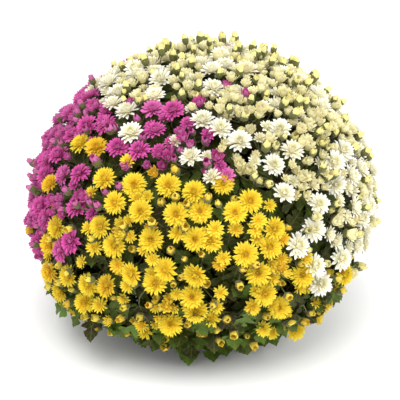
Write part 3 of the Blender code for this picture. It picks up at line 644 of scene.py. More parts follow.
mothers = np.repeat(np.flatnonzero(blooms["stage"] == HALF), SISTERS)
count = len(mothers)
around = np.arange(count) + fill_draw.uniform(-SISTER_JITTER, SISTER_JITTER, count)
around = blooms["turn"][mothers] + 2.0 * math.pi * around / SISTERS
flat = side_of(dome_normal(blooms["way"][mothers]), around)
distance = fill_draw.uniform(*SISTER_DISTANCE, count)
sister_way = unit(blooms["way"][mothers] + flat * distance[:, None] / DOME_REACH)
sister_stage = fill_draw.choice((SMALL, HALF, BUD), size=count, p=SISTER_SHARES)
sister_radius = drawn(GAP_RADIUS, sister_stage)
sister_drop = drawn(GAP_DROP, sister_stage)
sister_drop -= RAISED_BUD * (sister_stage == BUD) * np.clip(sister_way[:, 2], 0.0, 1.0)
sisters = {
    "way": sister_way, "stage": sister_stage,
    "colour": blooms["colour"][mothers], "spray": blooms["spray"][mothers],
    "radius": np.minimum(sister_radius, LARGEST_SISTER), "turn": fill_draw.uniform(0.0, 2.0 * math.pi, count),
    "place": bush_point(sister_way) - dome_normal(sister_way) * sister_drop[:, None],
}
print("younger sisters:", count)

# %% One list of all heads
HOLD_SEED = 47
HOLD_IN = (0.001, 0.010)  # every head's middle stays so far inside the box of the solids, sideways
BUD_OUT = 0.005  # while a bud on the left or right may stand out so much further

all_heads = {key: np.concatenate([blooms[key], extra[key], sisters[key]]) for key in blooms}
total = len(all_heads["stage"])
hold_draw = np.random.default_rng(HOLD_SEED)
hold = hold_draw.uniform(*HOLD_IN, (total, 2))
hold[all_heads["stage"] == BUD, 0] -= BUD_OUT
low_corner, high_corner = (np.array(corner[:2]) for corner in CAD_BOX)
all_heads["place"][:, :2] = np.clip(all_heads["place"][:, :2], low_corner + hold, high_corner - hold)
all_heads["face"] = leaning(all_heads["way"], fill_draw)
all_heads["side"] = side_of(all_heads["face"], all_heads["turn"])
all_heads["tint"] = fill_draw.uniform(size=total)
all_heads["age"] = fill_draw.uniform(size=total)
print("all heads:", total, dict(zip(STAGE_NAMES, np.bincount(all_heads["stage"]).tolist())))

# %% [markdown]
# ## Where the colours meet
# The three plants grow into each other, so their colours don't meet along the edges of the solid sprays.
# The picture shows how far each colour reaches, and two outlines in its pixels follow that: the yellow
# area, and the magenta area to the left of it. Beyond these a few single heads stand out as dots of another
# colour, each given by its own pixel. Round the back, where the picture shows nothing, a small random share
# of the heads strays instead, so that the plant looks alike from every side.

# %% Heads of another colour
YELLOW_AREA = (  # pixels of the picture, clockwise from the upper left
    (50, 214), (96, 216), (120, 196), (128, 182), (166, 166), (200, 178), (228, 178), (268, 196), (288, 214),
    (298, 246), (312, 268), (346, 272), (356, 300), (300, 350), (200, 372), (100, 350), (46, 304), (44, 282),
)
MAGENTA_AREA = (
    (94, 68), (98, 94), (124, 104), (152, 100), (180, 108), (206, 128), (216, 150), (226, 180), (166, 200),
    (96, 226), (60, 290), (20, 300), (0, 200), (40, 90),
)
STRAY_PIXELS = {  # pixels of single heads in another plant's area, by colour and youngest stage
    ("yellow", OPEN): ((86, 147), (107, 146), (108, 163), (55, 179), (62, 203), (100, 194), (118, 176)),
    ("magenta", OPEN): ((218, 170), (66, 238), (58, 256)),
    ("magenta", HALF): ((216, 88), (200, 101), (248, 97), (328, 242)),
    ("white", OPEN): (
        (117, 116), (128, 128), (179, 139), (197, 158), (210, 147), (203, 174), (105, 100), (123, 98),
    ),
    ("white", SMALL): ((300, 252), (322, 266), (345, 252)),
}
STRAY_SHARE_BEHIND = 0.03


def inside(points, outline):
    """Which points lie inside an outline: a line to the right of them crosses it an odd number of times."""
    odd = np.zeros(len(points), bool)
    for (x0, y0), (x1, y1) in zip(outline, outline[1:] + outline[:1]):
        level = (y0 > points[:, 1]) != (y1 > points[:, 1])
        crossing = x0 + (points[:, 1] - y0) / ((y1 - y0) or 1.0) * (x1 - x0)
        odd ^= level & (points[:, 0] < crossing)
    return odd


pixels = pixels_of(all_heads["place"])
in_view = shown(all_heads["place"])
all_heads["bloom"] = all_heads["colour"].copy()
seen_colour = np.where(inside(pixels, MAGENTA_AREA), MAGENTA, WHITE)
seen_colour[inside(pixels, YELLOW_AREA)] = YELLOW
all_heads["bloom"][in_view] = seen_colour[in_view]
for (colour, youngest), dots in STRAY_PIXELS.items():
    other = COLOURS.index(colour)
    for dot in dots:
        right_age = (all_heads["stage"] <= max(youngest, SMALL)) & (all_heads["stage"] >= youngest - 1)
        free = in_view & right_age & (all_heads["bloom"] != other)
        distance = np.where(free, np.linalg.norm(pixels - dot, axis=1), np.inf)
        all_heads["bloom"][distance.argmin()] = other
behind = ~in_view & (fill_draw.uniform(size=total) < STRAY_SHARE_BEHIND)
step = 1 + fill_draw.integers(0, 2, behind.sum())
all_heads["bloom"][behind] = (all_heads["bloom"][behind] + step) % len(COLOURS)
print("heads of another colour than their spray:", int((all_heads["bloom"] != all_heads["colour"]).sum()))

# %% [markdown]
# ## A ray petal
# What looks like one petal is a ray floret, a strip that is narrow at its foot, widest past its middle, and
# a little hollow along its length. It could be modelled by hand, but a rule does better, because each
# colour needs its own: the yellow petals are narrow and pointed, the white ones broad and round. So a small
# Geometry Nodes tree bends a grid of 4 by 3 points into a petal. Two curves give its width, one for a
# pointed and one for a round tip, and the tree keeps two attributes for the material: how far a point is
# along the petal, and how far across it.

# %% Trees with named inputs
MATERIAL_INPUT = ""  # marks an input that takes a material
COLLECTION_INPUT = []  # marks an input that takes a collection


def new_tree(name, sizes, geometry=True):
    """A Geometry Nodes tree with named inputs. Gives the tree and the node that holds its inputs."""
    tree = bpy.data.node_groups.new(name, "GeometryNodeTree")
    kinds = {
        int: "NodeSocketInt", float: "NodeSocketFloat",
        str: "NodeSocketMaterial", list: "NodeSocketCollection",
    }
    if geometry:
        tree.interface.new_socket("Geometry", in_out="INPUT", socket_type="NodeSocketGeometry")
    for label, value in sizes.items():
        made = tree.interface.new_socket(label, in_out="INPUT", socket_type=kinds[type(value)])
        if isinstance(value, (int, float)):
            made.default_value = value
    tree.interface.new_socket("Geometry", in_out="OUTPUT", socket_type="NodeSocketGeometry")
    return tree, add(tree, "NodeGroupInput")


print("a tree takes numbers, a material", [MATERIAL_INPUT], "and a collection", COLLECTION_INPUT)

# %% The petal tree
POINTED_WIDTHS = ((0.0, 0.30), (0.25, 0.62), (0.58, 1.0), (0.82, 0.86), (1.0, 0.12))
ROUND_WIDTHS = ((0.0, 0.34), (0.25, 0.66), (0.60, 1.0), (0.84, 0.96), (1.0, 0.55))
TIP_BULGE = 0.07  # a round tip's middle stands out by this share of the length
TIP_POWER = 6.0  # the higher, the nearer to its end the petal starts to bulge
ROW_CROWDING = 0.5  # a petal's rows of points lie closer together towards its tip


def width_curve(tree, along, widths):
    """A petal's half width at each place along it."""
    node = add(tree, "ShaderNodeFloatCurve", {"Value": along})
    curve = node.mapping.curves[0]
    curve.points[0].location = widths[0]
    curve.points[1].location = widths[-1]
    for place in widths[1:-1]:
        curve.points.new(*place)
    node.mapping.update()
    return node


petal_tree, sizes = new_tree("ray_petal", {"Steps": 4, "Pointed": 1.0, "Hollow": 0.25}, geometry=False)
grid = add(petal_tree, "GeometryNodeMeshGrid", {
    "Size X": 1.0, "Size Y": 1.0, "Vertices X": sizes.outputs["Steps"], "Vertices Y": 3,
})
place = add(petal_tree, "ShaderNodeSeparateXYZ", {0: add(petal_tree, "GeometryNodeInputPosition")})
along = add(petal_tree, "ShaderNodeMath", {0: place.outputs["X"], 1: 0.5}, operation="ADD")
along = add(petal_tree, "ShaderNodeMath", {0: along, 1: ROW_CROWDING}, operation="POWER")
across = add(petal_tree, "ShaderNodeMath", {0: place.outputs["Y"], 1: 2.0}, operation="MULTIPLY")
marked = add(petal_tree, "GeometryNodeStoreNamedAttribute", {
    "Geometry": grid.outputs["Mesh"], "Name": "along", "Value": along,
}, data_type="FLOAT", domain="POINT")
marked = add(petal_tree, "GeometryNodeStoreNamedAttribute", {
    "Geometry": marked, "Name": "across", "Value": across,
}, data_type="FLOAT", domain="POINT")
print("nodes that mark a petal's points:", len(petal_tree.nodes))

# %% The shape of a petal
along = add(petal_tree, "GeometryNodeInputNamedAttribute", {"Name": "along"}, data_type="FLOAT")
across = add(petal_tree, "GeometryNodeInputNamedAttribute", {"Name": "across"}, data_type="FLOAT")
width = add(petal_tree, "ShaderNodeMix", {
    "Factor": sizes.outputs["Pointed"],
    "A": width_curve(petal_tree, along, ROUND_WIDTHS), "B": width_curve(petal_tree, along, POINTED_WIDTHS),
}, data_type="FLOAT")
half_width = add(petal_tree, "ShaderNodeMath", {0: width, 1: 0.5}, operation="MULTIPLY")
out_across = add(petal_tree, "ShaderNodeMath", {0: half_width, 1: across}, operation="MULTIPLY")
edge = add(petal_tree, "ShaderNodeMath", {0: across, 1: across}, operation="MULTIPLY")
rise = add(petal_tree, "ShaderNodeMath", {0: edge, 1: width}, operation="MULTIPLY")
rise = add(petal_tree, "ShaderNodeMath", {0: rise, 1: sizes.outputs["Hollow"]}, operation="MULTIPLY")
tip = add(petal_tree, "ShaderNodeMath", {0: along, 1: TIP_POWER}, operation="POWER")
middle = add(petal_tree, "ShaderNodeMath", {0: 1.0, 1: edge}, operation="SUBTRACT")
bulge = add(petal_tree, "ShaderNodeMath", {0: tip, 1: middle}, operation="MULTIPLY")
bulge = add(petal_tree, "ShaderNodeMath", {0: bulge, 1: TIP_BULGE, 2: along}, operation="MULTIPLY_ADD")
shaped = add(petal_tree, "GeometryNodeSetPosition", {
    "Geometry": marked,
    "Position": add(petal_tree, "ShaderNodeCombineXYZ", {"X": bulge, "Y": out_across, "Z": rise}),
})
add(petal_tree, "NodeGroupOutput", {0: shaped})
print("nodes in the petal tree:", len(petal_tree.nodes))

# %% [markdown]
# ## A head of petals
# The petals of a head stand in a spiral: each one is turned 137.5 degrees from the last, the golden angle,
# which is how the growing tip spaces them. The first are the young ones in the middle, short, upright and
# curled in. The last are the long outer ones, which lie flat or bend back. So one number from 0 to 1, the
# row, sets the length, lift and curl of each. The same tree makes an open bloom, a half-open cup and a bud,
# from different sizes. The petals are single sheets, as thin as real ones look, and a bend after the copies
# are real gives each its own curl.

# %% The head tree
GOLDEN_ANGLE = math.pi * (3.0 - math.sqrt(5.0))
TURN_SCATTER = 0.14  # how far a petal is turned from its place in the spiral, in radians
LIFT_SCATTER = 6.0  # how much higher or lower it stands, in degrees
ROLL_SCATTER = 0.30  # how far it is rolled on its side, in radians
SEED_STEP = 10.0
DISC_SIDES = 8
HEAD_SIZES = {
    "Petals": 90, "Steps": 4, "Disc Radius": 0.0034, "Disc Rise": 0.0022,
    "Inner Length": 0.0036, "Outer Length": 0.0125, "Fullness": 2.4, "Ragged": 0.06,
    "Inner Width": 0.0020, "Outer Width": 0.0034, "Pointed": 1.0, "Hollow": 0.25,
    "Inner Lift": 85.0, "Outer Lift": 2.0, "Lift Fall": 0.55, "Inner Curl": 0.45, "Outer Curl": -0.06,
    "Youth": 0.0, "Seed": 1, "Material": MATERIAL_INPUT,
}
head_tree, sizes = new_tree("flower_head", HEAD_SIZES)
size = {socket.name: socket for socket in sizes.outputs}
print("sizes of a head:", len(size) - 1)

# %% The spiral of petal feet
index = add(head_tree, "GeometryNodeInputIndex")
last = add(head_tree, "ShaderNodeMath", {0: size["Petals"], 1: 1.0}, operation="SUBTRACT")
row = add(head_tree, "ShaderNodeMath", {0: index, 1: last}, operation="DIVIDE")
scatter = [
    add(head_tree, "FunctionNodeRandomValue", {
        "Min": -1.0, "Max": 1.0, "ID": index,
        "Seed": add(head_tree, "ShaderNodeMath", {0: size["Seed"], 1: SEED_STEP * number}, operation="ADD"),
    }, data_type="FLOAT") for number in range(4)
]
turn = add(head_tree, "ShaderNodeMath", {0: index, 1: GOLDEN_ANGLE}, operation="MULTIPLY")
turn = add(head_tree, "ShaderNodeMath", {0: scatter[0], 1: TURN_SCATTER, 2: turn}, operation="MULTIPLY_ADD")
outward = add(head_tree, "ShaderNodeCombineXYZ", {
    "X": add(head_tree, "ShaderNodeMath", {0: turn}, operation="COSINE"),
    "Y": add(head_tree, "ShaderNodeMath", {0: turn}, operation="SINE"),
})
reach = add(head_tree, "ShaderNodeMath", {0: row}, operation="SQRT")
reach = add(head_tree, "ShaderNodeMath", {0: reach, 1: size["Disc Radius"]}, operation="MULTIPLY")
foot = add(head_tree, "ShaderNodeVectorMath", {0: outward, "Scale": reach}, operation="SCALE")
height = add(head_tree, "ShaderNodeMath", {0: 1.0, 1: row}, operation="SUBTRACT")
height = add(head_tree, "ShaderNodeMath", {0: height, 1: size["Disc Rise"]}, operation="MULTIPLY")
foot = add(head_tree, "ShaderNodeVectorMath", {
    0: foot, 1: add(head_tree, "ShaderNodeCombineXYZ", {"Z": height}),
}, operation="ADD")
feet = add(head_tree, "GeometryNodePoints", {"Count": size["Petals"], "Position": foot})
print("nodes of the spiral:", len(head_tree.nodes))

# %% Length, lift and curl of each petal
still_short = add(head_tree, "ShaderNodeMath", {
    0: add(head_tree, "ShaderNodeMath", {0: 1.0, 1: row}, operation="SUBTRACT"), 1: size["Fullness"],
}, operation="POWER")
length = add(head_tree, "ShaderNodeMix", {
    "Factor": still_short, "A": size["Outer Length"], "B": size["Inner Length"],
}, data_type="FLOAT")
ragged = add(head_tree, "ShaderNodeMath", {
    0: scatter[1], 1: size["Ragged"], 2: 1.0,
}, operation="MULTIPLY_ADD")
length = add(head_tree, "ShaderNodeMath", {0: length, 1: ragged}, operation="MULTIPLY")
width = add(head_tree, "ShaderNodeMix", {
    "Factor": row, "A": size["Inner Width"], "B": size["Outer Width"],
}, data_type="FLOAT")
fall = add(head_tree, "ShaderNodeMath", {0: row, 1: size["Lift Fall"]}, operation="POWER")
lift = add(head_tree, "ShaderNodeMix", {
    "Factor": fall, "A": size["Inner Lift"], "B": size["Outer Lift"],
}, data_type="FLOAT")
lift = add(head_tree, "ShaderNodeMath", {0: scatter[2], 1: LIFT_SCATTER, 2: lift}, operation="MULTIPLY_ADD")
lift = add(head_tree, "ShaderNodeMath", {0: lift}, operation="RADIANS")
roll = add(head_tree, "ShaderNodeMath", {0: scatter[3], 1: ROLL_SCATTER}, operation="MULTIPLY")
tilt = add(head_tree, "ShaderNodeMath", {0: lift, 1: -1.0}, operation="MULTIPLY")
inward = add(head_tree, "ShaderNodeMath", {
    0: add(head_tree, "ShaderNodeMath", {0: lift}, operation="SINE"), 1: -1.0,
}, operation="MULTIPLY")
upper_side = add(head_tree, "ShaderNodeVectorMath", {
    0: add(head_tree, "ShaderNodeVectorMath", {0: outward, "Scale": inward}, operation="SCALE"),
    1: add(head_tree, "ShaderNodeCombineXYZ", {
        "Z": add(head_tree, "ShaderNodeMath", {0: lift}, operation="COSINE"),
    }),
}, operation="ADD")
curl = add(head_tree, "ShaderNodeMix", {
    "Factor": row, "A": size["Inner Curl"], "B": size["Outer Curl"],
}, data_type="FLOAT")
curl = add(head_tree, "ShaderNodeMath", {0: curl, 1: length}, operation="MULTIPLY")
bend = add(head_tree, "ShaderNodeVectorMath", {0: upper_side, "Scale": curl}, operation="SCALE")
print("nodes with the petals' measures:", len(head_tree.nodes))

# %% Petals on their feet
marked = add(head_tree, "GeometryNodeStoreNamedAttribute", {
    "Geometry": feet, "Name": "row", "Value": row,
}, data_type="FLOAT", domain="POINT")
marked = add(head_tree, "GeometryNodeStoreNamedAttribute", {
    "Geometry": marked, "Name": "bend", "Value": bend,
}, data_type="FLOAT_VECTOR", domain="POINT")
petal = add(head_tree, "GeometryNodeGroup", {
    "Steps": size["Steps"], "Pointed": size["Pointed"], "Hollow": size["Hollow"],
}, node_tree=petal_tree)
copies = add(head_tree, "GeometryNodeInstanceOnPoints", {
    "Points": marked, "Instance": petal,
    "Rotation": add(head_tree, "ShaderNodeCombineXYZ", {"X": roll, "Y": tilt, "Z": turn}),
    "Scale": add(head_tree, "ShaderNodeCombineXYZ", {"X": length, "Y": width, "Z": width}),
})
real = add(head_tree, "GeometryNodeRealizeInstances", {"Geometry": copies})
along = add(head_tree, "GeometryNodeInputNamedAttribute", {"Name": "along"}, data_type="FLOAT")
bend = add(head_tree, "GeometryNodeInputNamedAttribute", {"Name": "bend"}, data_type="FLOAT_VECTOR")
curled = add(head_tree, "GeometryNodeSetPosition", {
    "Geometry": real,
    "Offset": add(head_tree, "ShaderNodeVectorMath", {
        0: bend, "Scale": add(head_tree, "ShaderNodeMath", {0: along, 1: 2.0}, operation="POWER"),
    }, operation="SCALE"),
})
curled = add(head_tree, "GeometryNodeRemoveAttribute", {"Geometry": curled, "Name": "bend"})
curled = add(head_tree, "GeometryNodeStoreNamedAttribute", {
    "Geometry": curled, "Name": "youth", "Value": size["Youth"],
}, data_type="FLOAT", domain="POINT")
curled = add(head_tree, "GeometryNodeSetShadeSmooth", {"Geometry": curled})
button = add(head_tree, "GeometryNodeMeshCircle", {
    "Vertices": DISC_SIDES, "Radius": size["Disc Radius"],
}, fill_type="NGON")
whole = add(head_tree, "GeometryNodeJoinGeometry")
head_tree.links.new(curled.outputs[0], whole.inputs[0])
head_tree.links.new(button.outputs[0], whole.inputs[0])
painted = add(head_tree, "GeometryNodeSetMaterial", {"Geometry": whole, "Material": size["Material"]})
add(head_tree, "NodeGroupOutput", {0: painted})
print("nodes in the head tree:", len(head_tree.nodes))

# %% [markdown]
# ## From a tree to a plain mesh
# A tree is only a recipe that Blender runs again and again, and an exported file holds no recipes. So a
# helper hangs the tree on a mesh, lets Blender run it once, keeps what comes out as an ordinary mesh, and
# takes the modifier off. Each input of a modifier is set by the identifier of its socket, because two
# sockets may share a label.

# %% The helpers that run a tree
def set_input(modifier, label, value):
    """Sets a modifier's input by its label's identifier."""
    for item in modifier.node_group.interface.items_tree:
        if item.item_type == "SOCKET" and item.in_out == "INPUT" and item.name == label:
            modifier[item.identifier] = value
            return
    raise KeyError(label)


def grown(name, mesh, tree, inputs, collection):
    """Runs a tree on a mesh, keeps the result as a plain mesh, and takes the modifier off again."""
    made = bpy.data.objects.new(name, mesh)
    collection.objects.link(made)
    modifier = made.modifiers.new(tree.name, "NODES")
    modifier.node_group = tree
    for label, value in inputs.items():
        set_input(modifier, label, value)
    depsgraph = bpy.context.evaluated_depsgraph_get()
    result = bpy.data.meshes.new_from_object(
        made.evaluated_get(depsgraph), preserve_all_data_layers=True, depsgraph=depsgraph)
    made.modifiers.clear()
    made.data = result
    result.name = name
    bpy.data.meshes.remove(mesh)
    return made


def triangles(thing):
    """How many triangles a mesh has."""
    return sum(len(face.vertices) - 2 for face in thing.data.polygons)


def helper_collection(name):
    """A collection for shapes that are copied and then removed."""
    made = bpy.data.collections.new(name)
    bpy.context.scene.collection.children.link(made)
    return made


print("helpers ready:", [helper.__name__ for helper in (set_input, grown, triangles, helper_collection)])

# %% [markdown]
# ## Petal colours
# A petal is a thin sheet of cells filled with coloured sap over a layer of air, so it scatters light
# softly, shines only a little at a glancing angle, and lets some light through. Each colour's material is a
# rough Principled shader with a share of Translucent. Its colour runs from foot to tip and from the middle
# row to the outer one, and drifts from head to head, because heads of several ages stand together. Fine
# ribs run along each petal, about five across its width, drawn from the petal's own across attribute.

# %% The colours over a petal
PETAL_FINISH = {
    "yellow": {
        "foot": "#f3d02a", "tip": "#f5df46", "middle": "#f0c020", "young": "#f0da5e", "old": "#e8ae28",
        "back": "#f2dc46", "glow": "#f4e248", "middle_rows": (0.02, 0.26), "youth_share": 0.75,
    },
    "magenta": {
        "foot": "#b03a84", "tip": "#dc62ae", "middle": "#962870", "young": "#a84078", "old": "#de90c4",
        "back": "#dc8cc0", "glow": "#e060b0", "middle_rows": (0.05, 0.36), "youth_share": 0.55,
    },
    "white": {
        "foot": "#f1edca", "tip": "#f8f7f0", "middle": "#dcd45c", "young": "#f3e98e", "old": "#ecdfa8",
        "back": "#f3efd6", "glow": "#f4f0dc", "middle_rows": (0.06, 0.42), "youth_share": 0.90,
    },
}


def petal_colour(tree, mark, finish):
    """A petal's colour: from foot to tip, by its row in the head, by its side, and by the head's age."""
    to_tip = add(tree, "ShaderNodeMapRange", {"Value": mark["along"], "From Min": 0.15, "From Max": 0.85})
    sheet = add(tree, "ShaderNodeMix", {
        "Factor": to_tip, "A": linear(finish["foot"]), "B": linear(finish["tip"]),
    }, data_type="RGBA")
    low, high = finish["middle_rows"]
    in_middle = add(tree, "ShaderNodeMapRange", {
        "Value": mark["row"], "From Min": low, "From Max": high, "To Min": 0.85, "To Max": 0.0,
    })
    sheet = add(tree, "ShaderNodeMix", {
        "Factor": in_middle, "A": sheet, "B": linear(finish["middle"]),
    }, data_type="RGBA")
    behind = add(tree, "ShaderNodeNewGeometry").outputs["Backfacing"]
    sheet = add(tree, "ShaderNodeMix", {
        "Factor": behind, "A": sheet, "B": linear(finish["back"]),
    }, data_type="RGBA")
    outer = add(tree, "ShaderNodeMapRange", {
        "Value": mark["row"], "From Min": 0.25, "From Max": 0.55, "To Max": finish["youth_share"],
    })
    young = add(tree, "ShaderNodeMath", {0: mark["youth"], 1: outer}, operation="MULTIPLY")
    sheet = add(tree, "ShaderNodeMix", {
        "Factor": young, "A": sheet, "B": linear(finish["young"]),
    }, data_type="RGBA")
    aged = add(tree, "ShaderNodeMapRange", {
        "Value": mark["age"], "From Min": 0.82, "From Max": 1.0, "To Max": 0.55,
    })
    return add(tree, "ShaderNodeMix", {
        "Factor": aged, "A": sheet, "B": linear(finish["old"]),
    }, data_type="RGBA")


print("colours for each kind of petal:", len(PETAL_FINISH["white"]) - 2)

# %% Petal materials
PETAL_RIBS = 5  # ribs across one petal, each about 0.7 mm wide


def petal_material(colour):
    """Fresh petals of one colour: soft, thin and a little see-through."""
    finish = PETAL_FINISH[colour]
    material, tree = new_material(colour + "_fresh_petals")
    mark = {
        name: add(tree, "ShaderNodeAttribute", attribute_name=name).outputs["Fac"]
        for name in ("along", "across", "row", "youth", "age", "tint")
    }
    sheet = petal_colour(tree, mark, finish)
    ribs = add(tree, "ShaderNodeMath", {0: mark["across"], 1: math.pi * PETAL_RIBS}, operation="MULTIPLY")
    ribs = add(tree, "ShaderNodeMath", {0: ribs}, operation="COSINE")
    shade = add(tree, "ShaderNodeMath", {0: mark["tint"], 1: 0.10, 2: 0.94}, operation="MULTIPLY_ADD")
    # The ribs also make the colour 3% lighter on their crests and 3% darker in the furrows: painted shade
    # that follows the relief.
    shade = add(tree, "ShaderNodeMath", {0: ribs, 1: 0.03, 2: shade}, operation="MULTIPLY_ADD")
    sheet = add(tree, "ShaderNodeHueSaturation", {"Color": sheet, "Value": shade})
    relief = add(tree, "ShaderNodeBump", {"Height": ribs, "Strength": 0.35, "Distance": 0.00008})
    surface = add(tree, "ShaderNodeBsdfPrincipled", {
        "Base Color": sheet, "Roughness": 0.62, "Specular IOR Level": 0.25, "IOR": 1.42, "Normal": relief,
        "Sheen Weight": 0.08, "Sheen Roughness": 0.4,
    })
    through = add(tree, "ShaderNodeBsdfTranslucent", {"Color": linear(finish["glow"])})
    both = add(tree, "ShaderNodeMixShader", {0: 0.22, 1: surface, 2: through})
    add(tree, "ShaderNodeOutputMaterial", {"Surface": both})
    return material


petals = {colour: petal_material(colour) for colour in COLOURS}
print("petal materials:", [material.name for material in petals.values()])

# %% [markdown]
# ## Heads of every age, three colours
# No garden mum has two blooms alike, but 1600 different ones would be wasted on the eye. A few variants for
# each colour and age, each from its own seed, are enough once each copy has its own size, turn and tint.
# The yellow heads have narrow pointed petals that make a spiky edge, the magenta ones overlap like tiles
# and bend back, and the white ones are broad, with a greenish-yellow middle that hasn't opened. A bud's
# petals stand up and meet over a small hollow, which looks like a ring from outside.

# %% Sizes of every age
OPEN_SIZES = {
    "yellow": {
        "Petals": 112, "Outer Width": 0.0032, "Outer Length": 0.0120, "Pointed": 0.95, "Outer Lift": 0.0,
        "Lift Fall": 0.50, "Fullness": 3.0,
    },
    "magenta": {
        "Petals": 78, "Outer Width": 0.0042, "Inner Width": 0.0024, "Pointed": 0.55, "Outer Lift": -4.0,
        "Outer Length": 0.0118, "Disc Radius": 0.0032, "Outer Curl": -0.12, "Inner Curl": 0.50,
    },
    "white": {
        "Petals": 70, "Outer Width": 0.0043, "Inner Width": 0.0024, "Pointed": 0.25, "Outer Lift": 2.0,
        "Outer Length": 0.0120, "Disc Radius": 0.0034, "Outer Curl": -0.05, "Inner Curl": 0.60,
    },
}
SMALL_SIZES = {
    "Petals": 40, "Outer Length": 0.0100, "Disc Radius": 0.0028, "Inner Length": 0.0030, "Youth": 0.15,
}
HALF_SIZES = {
    "Petals": 32, "Disc Radius": 0.0036, "Disc Rise": 0.0010, "Inner Length": 0.0040, "Outer Length": 0.0080,
    "Inner Lift": 88.0, "Outer Lift": 34.0, "Lift Fall": 1.1, "Inner Curl": 0.40, "Outer Curl": 0.30,
    "Youth": 0.6,
}
BUD_SIZES = {
    "Petals": 17, "Steps": 3, "Disc Radius": 0.0030, "Disc Rise": 0.0,
    "Inner Length": 0.0020, "Outer Length": 0.0052, "Inner Lift": 80.0, "Outer Lift": 76.0,
    "Inner Curl": 0.30, "Outer Curl": 0.42, "Fullness": 1.2, "Youth": 1.0, "Ragged": 0.04,
    "Outer Width": 0.0032, "Inner Width": 0.0020, "Pointed": 0.2, "Hollow": 0.35,
}
STAGE_SIZES = {SMALL: SMALL_SIZES, HALF: HALF_SIZES, BUD: BUD_SIZES}
print("petals of a bud:", BUD_SIZES["Petals"], "of an open yellow head:", OPEN_SIZES["yellow"]["Petals"])

# %% Head variants
STAGE_VARIANTS = (4, 2, 3, 2)
STAGE_START = (0, 4, 6, 9)
VARIANT_LIFT = (0.0, 9.0, -5.0, 4.0)  # degrees that a variant's outer petals stand higher
VARIANT_STEP = 17  # how far apart the seeds of two variants are
STAGE_STEP = 3  # and those of two stages


def head_kinds(colour):
    """A collection of this colour's heads, in the order of their stages."""
    collection = helper_collection(colour + "_heads")
    for stage, variants in enumerate(STAGE_VARIANTS):
        for variant in range(variants):
            values = {**HEAD_SIZES, **OPEN_SIZES[colour], **STAGE_SIZES.get(stage, {})}
            values["Seed"] = 1 + VARIANT_STEP * variant + STAGE_STEP * stage
            values["Material"] = petals[colour]
            values["Outer Lift"] += VARIANT_LIFT[variant]
            name = f"{colour}_{stage}_{variant}"
            grown(name, bpy.data.meshes.new(name), head_tree, values, collection)
    return collection


def reach_of(thing):
    """A head's mean radius as made, from its middle to its petal tips."""
    return 0.25 * (thing.dimensions.x + thing.dimensions.y)


kinds = {colour: head_kinds(colour) for colour in COLOURS}

# %% [markdown]
# ## Setting the heads on the dome
# Each head is a point that carries which kind it is, which way it faces, how it is turned, its size and its
# tint. A second tree puts a copy of the right kind on every point. The copies are then made real, and each
# spray becomes one plain mesh that stands for its solid.

# %% The scatter tree
HEAD_MARKS = {"kind": "INT", "face": "FLOAT_VECTOR", "side": "FLOAT_VECTOR", "size": "FLOAT"}

scatter_tree, sizes = new_tree("scatter", {"Kinds": COLLECTION_INPUT, "Material": MATERIAL_INPUT})
source = add(scatter_tree, "GeometryNodeCollectionInfo", {
    "Collection": sizes.outputs["Kinds"], "Separate Children": True, "Reset Children": True,
})
read = {
    name: add(scatter_tree, "GeometryNodeInputNamedAttribute", {"Name": name}, data_type=kind)
    for name, kind in HEAD_MARKS.items()
}
turned = add(scatter_tree, "FunctionNodeAxesToRotation", {
    "Primary Axis": read["face"], "Secondary Axis": read["side"],
}, primary_axis="Z", secondary_axis="X")
copies = add(scatter_tree, "GeometryNodeInstanceOnPoints", {
    "Points": sizes.outputs["Geometry"], "Instance": source, "Pick Instance": True,
    "Instance Index": read["kind"], "Rotation": turned, "Scale": read["size"],
})
real = add(scatter_tree, "GeometryNodeRealizeInstances", {"Geometry": copies})
for name in HEAD_MARKS:
    real = add(scatter_tree, "GeometryNodeRemoveAttribute", {"Geometry": real, "Name": name})
painted = add(scatter_tree, "GeometryNodeSetMaterial", {
    "Geometry": real, "Material": sizes.outputs["Material"],
})
add(scatter_tree, "NodeGroupOutput", {0: painted})
print("nodes in the scatter tree:", len(scatter_tree.nodes))

# %% Points for a tree, and what a finished piece stands for
def point_mesh(name, places, marks, edges=()):
    """A mesh of points with attributes, for a tree to work on."""
    mesh = bpy.data.meshes.new(name)
    mesh.from_pydata([tuple(place) for place in places], list(edges), [])
    for label, values in marks.items():
        values = np.asarray(values)
        if values.ndim == 2:
            kind, field = "FLOAT_VECTOR", "vector"
        elif values.dtype.kind == "i":
            kind, field = "INT", "value"
        else:
            kind, field = "FLOAT", "value"
        mesh.attributes.new(label, kind, "POINT").data.foreach_set(field, values.ravel())
    return mesh


def finished(piece, nodes):
    """Hangs a piece on the root body, hides the solids it stands for, if any, and prints its size."""
    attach(piece, "root")
    if nodes:
        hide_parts(*nodes)
    added.append(triangles(piece))
    print(piece.name, added[-1], "triangles")


scene_root = bpy.context.scene.collection
added = []
print("heads to set:", total)

# %% One piece of blooms for each spray
VARIANT_SEED = 32
SOLID_FILL = np.array([1.12, 1.0, 1.0, 1.0])  # how much larger each stage is than its solid or its draw
variant_draw = np.random.default_rng(VARIANT_SEED)
stage = all_heads["stage"]
variant = (variant_draw.uniform(size=total) * np.array(STAGE_VARIANTS)[stage]).astype(int)
all_heads["kind"] = np.array(STAGE_START)[stage] + variant
reach = np.array([[reach_of(thing) for thing in kinds[colour].objects] for colour in COLOURS])
all_heads["size"] = all_heads["radius"] * SOLID_FILL[stage] / reach[all_heads["bloom"], all_heads["kind"]]


def bloom_piece(name, members, colour, nodes):
    """One plain mesh of the chosen heads in one colour."""
    marks = {key: all_heads[key][members] for key in (*HEAD_MARKS, "tint", "age")}
    points = point_mesh(name, all_heads["place"][members], marks)
    inputs = {"Kinds": kinds[colour], "Material": petals[colour]}
    finished(grown(name, points, scatter_tree, inputs, scene_root), nodes)


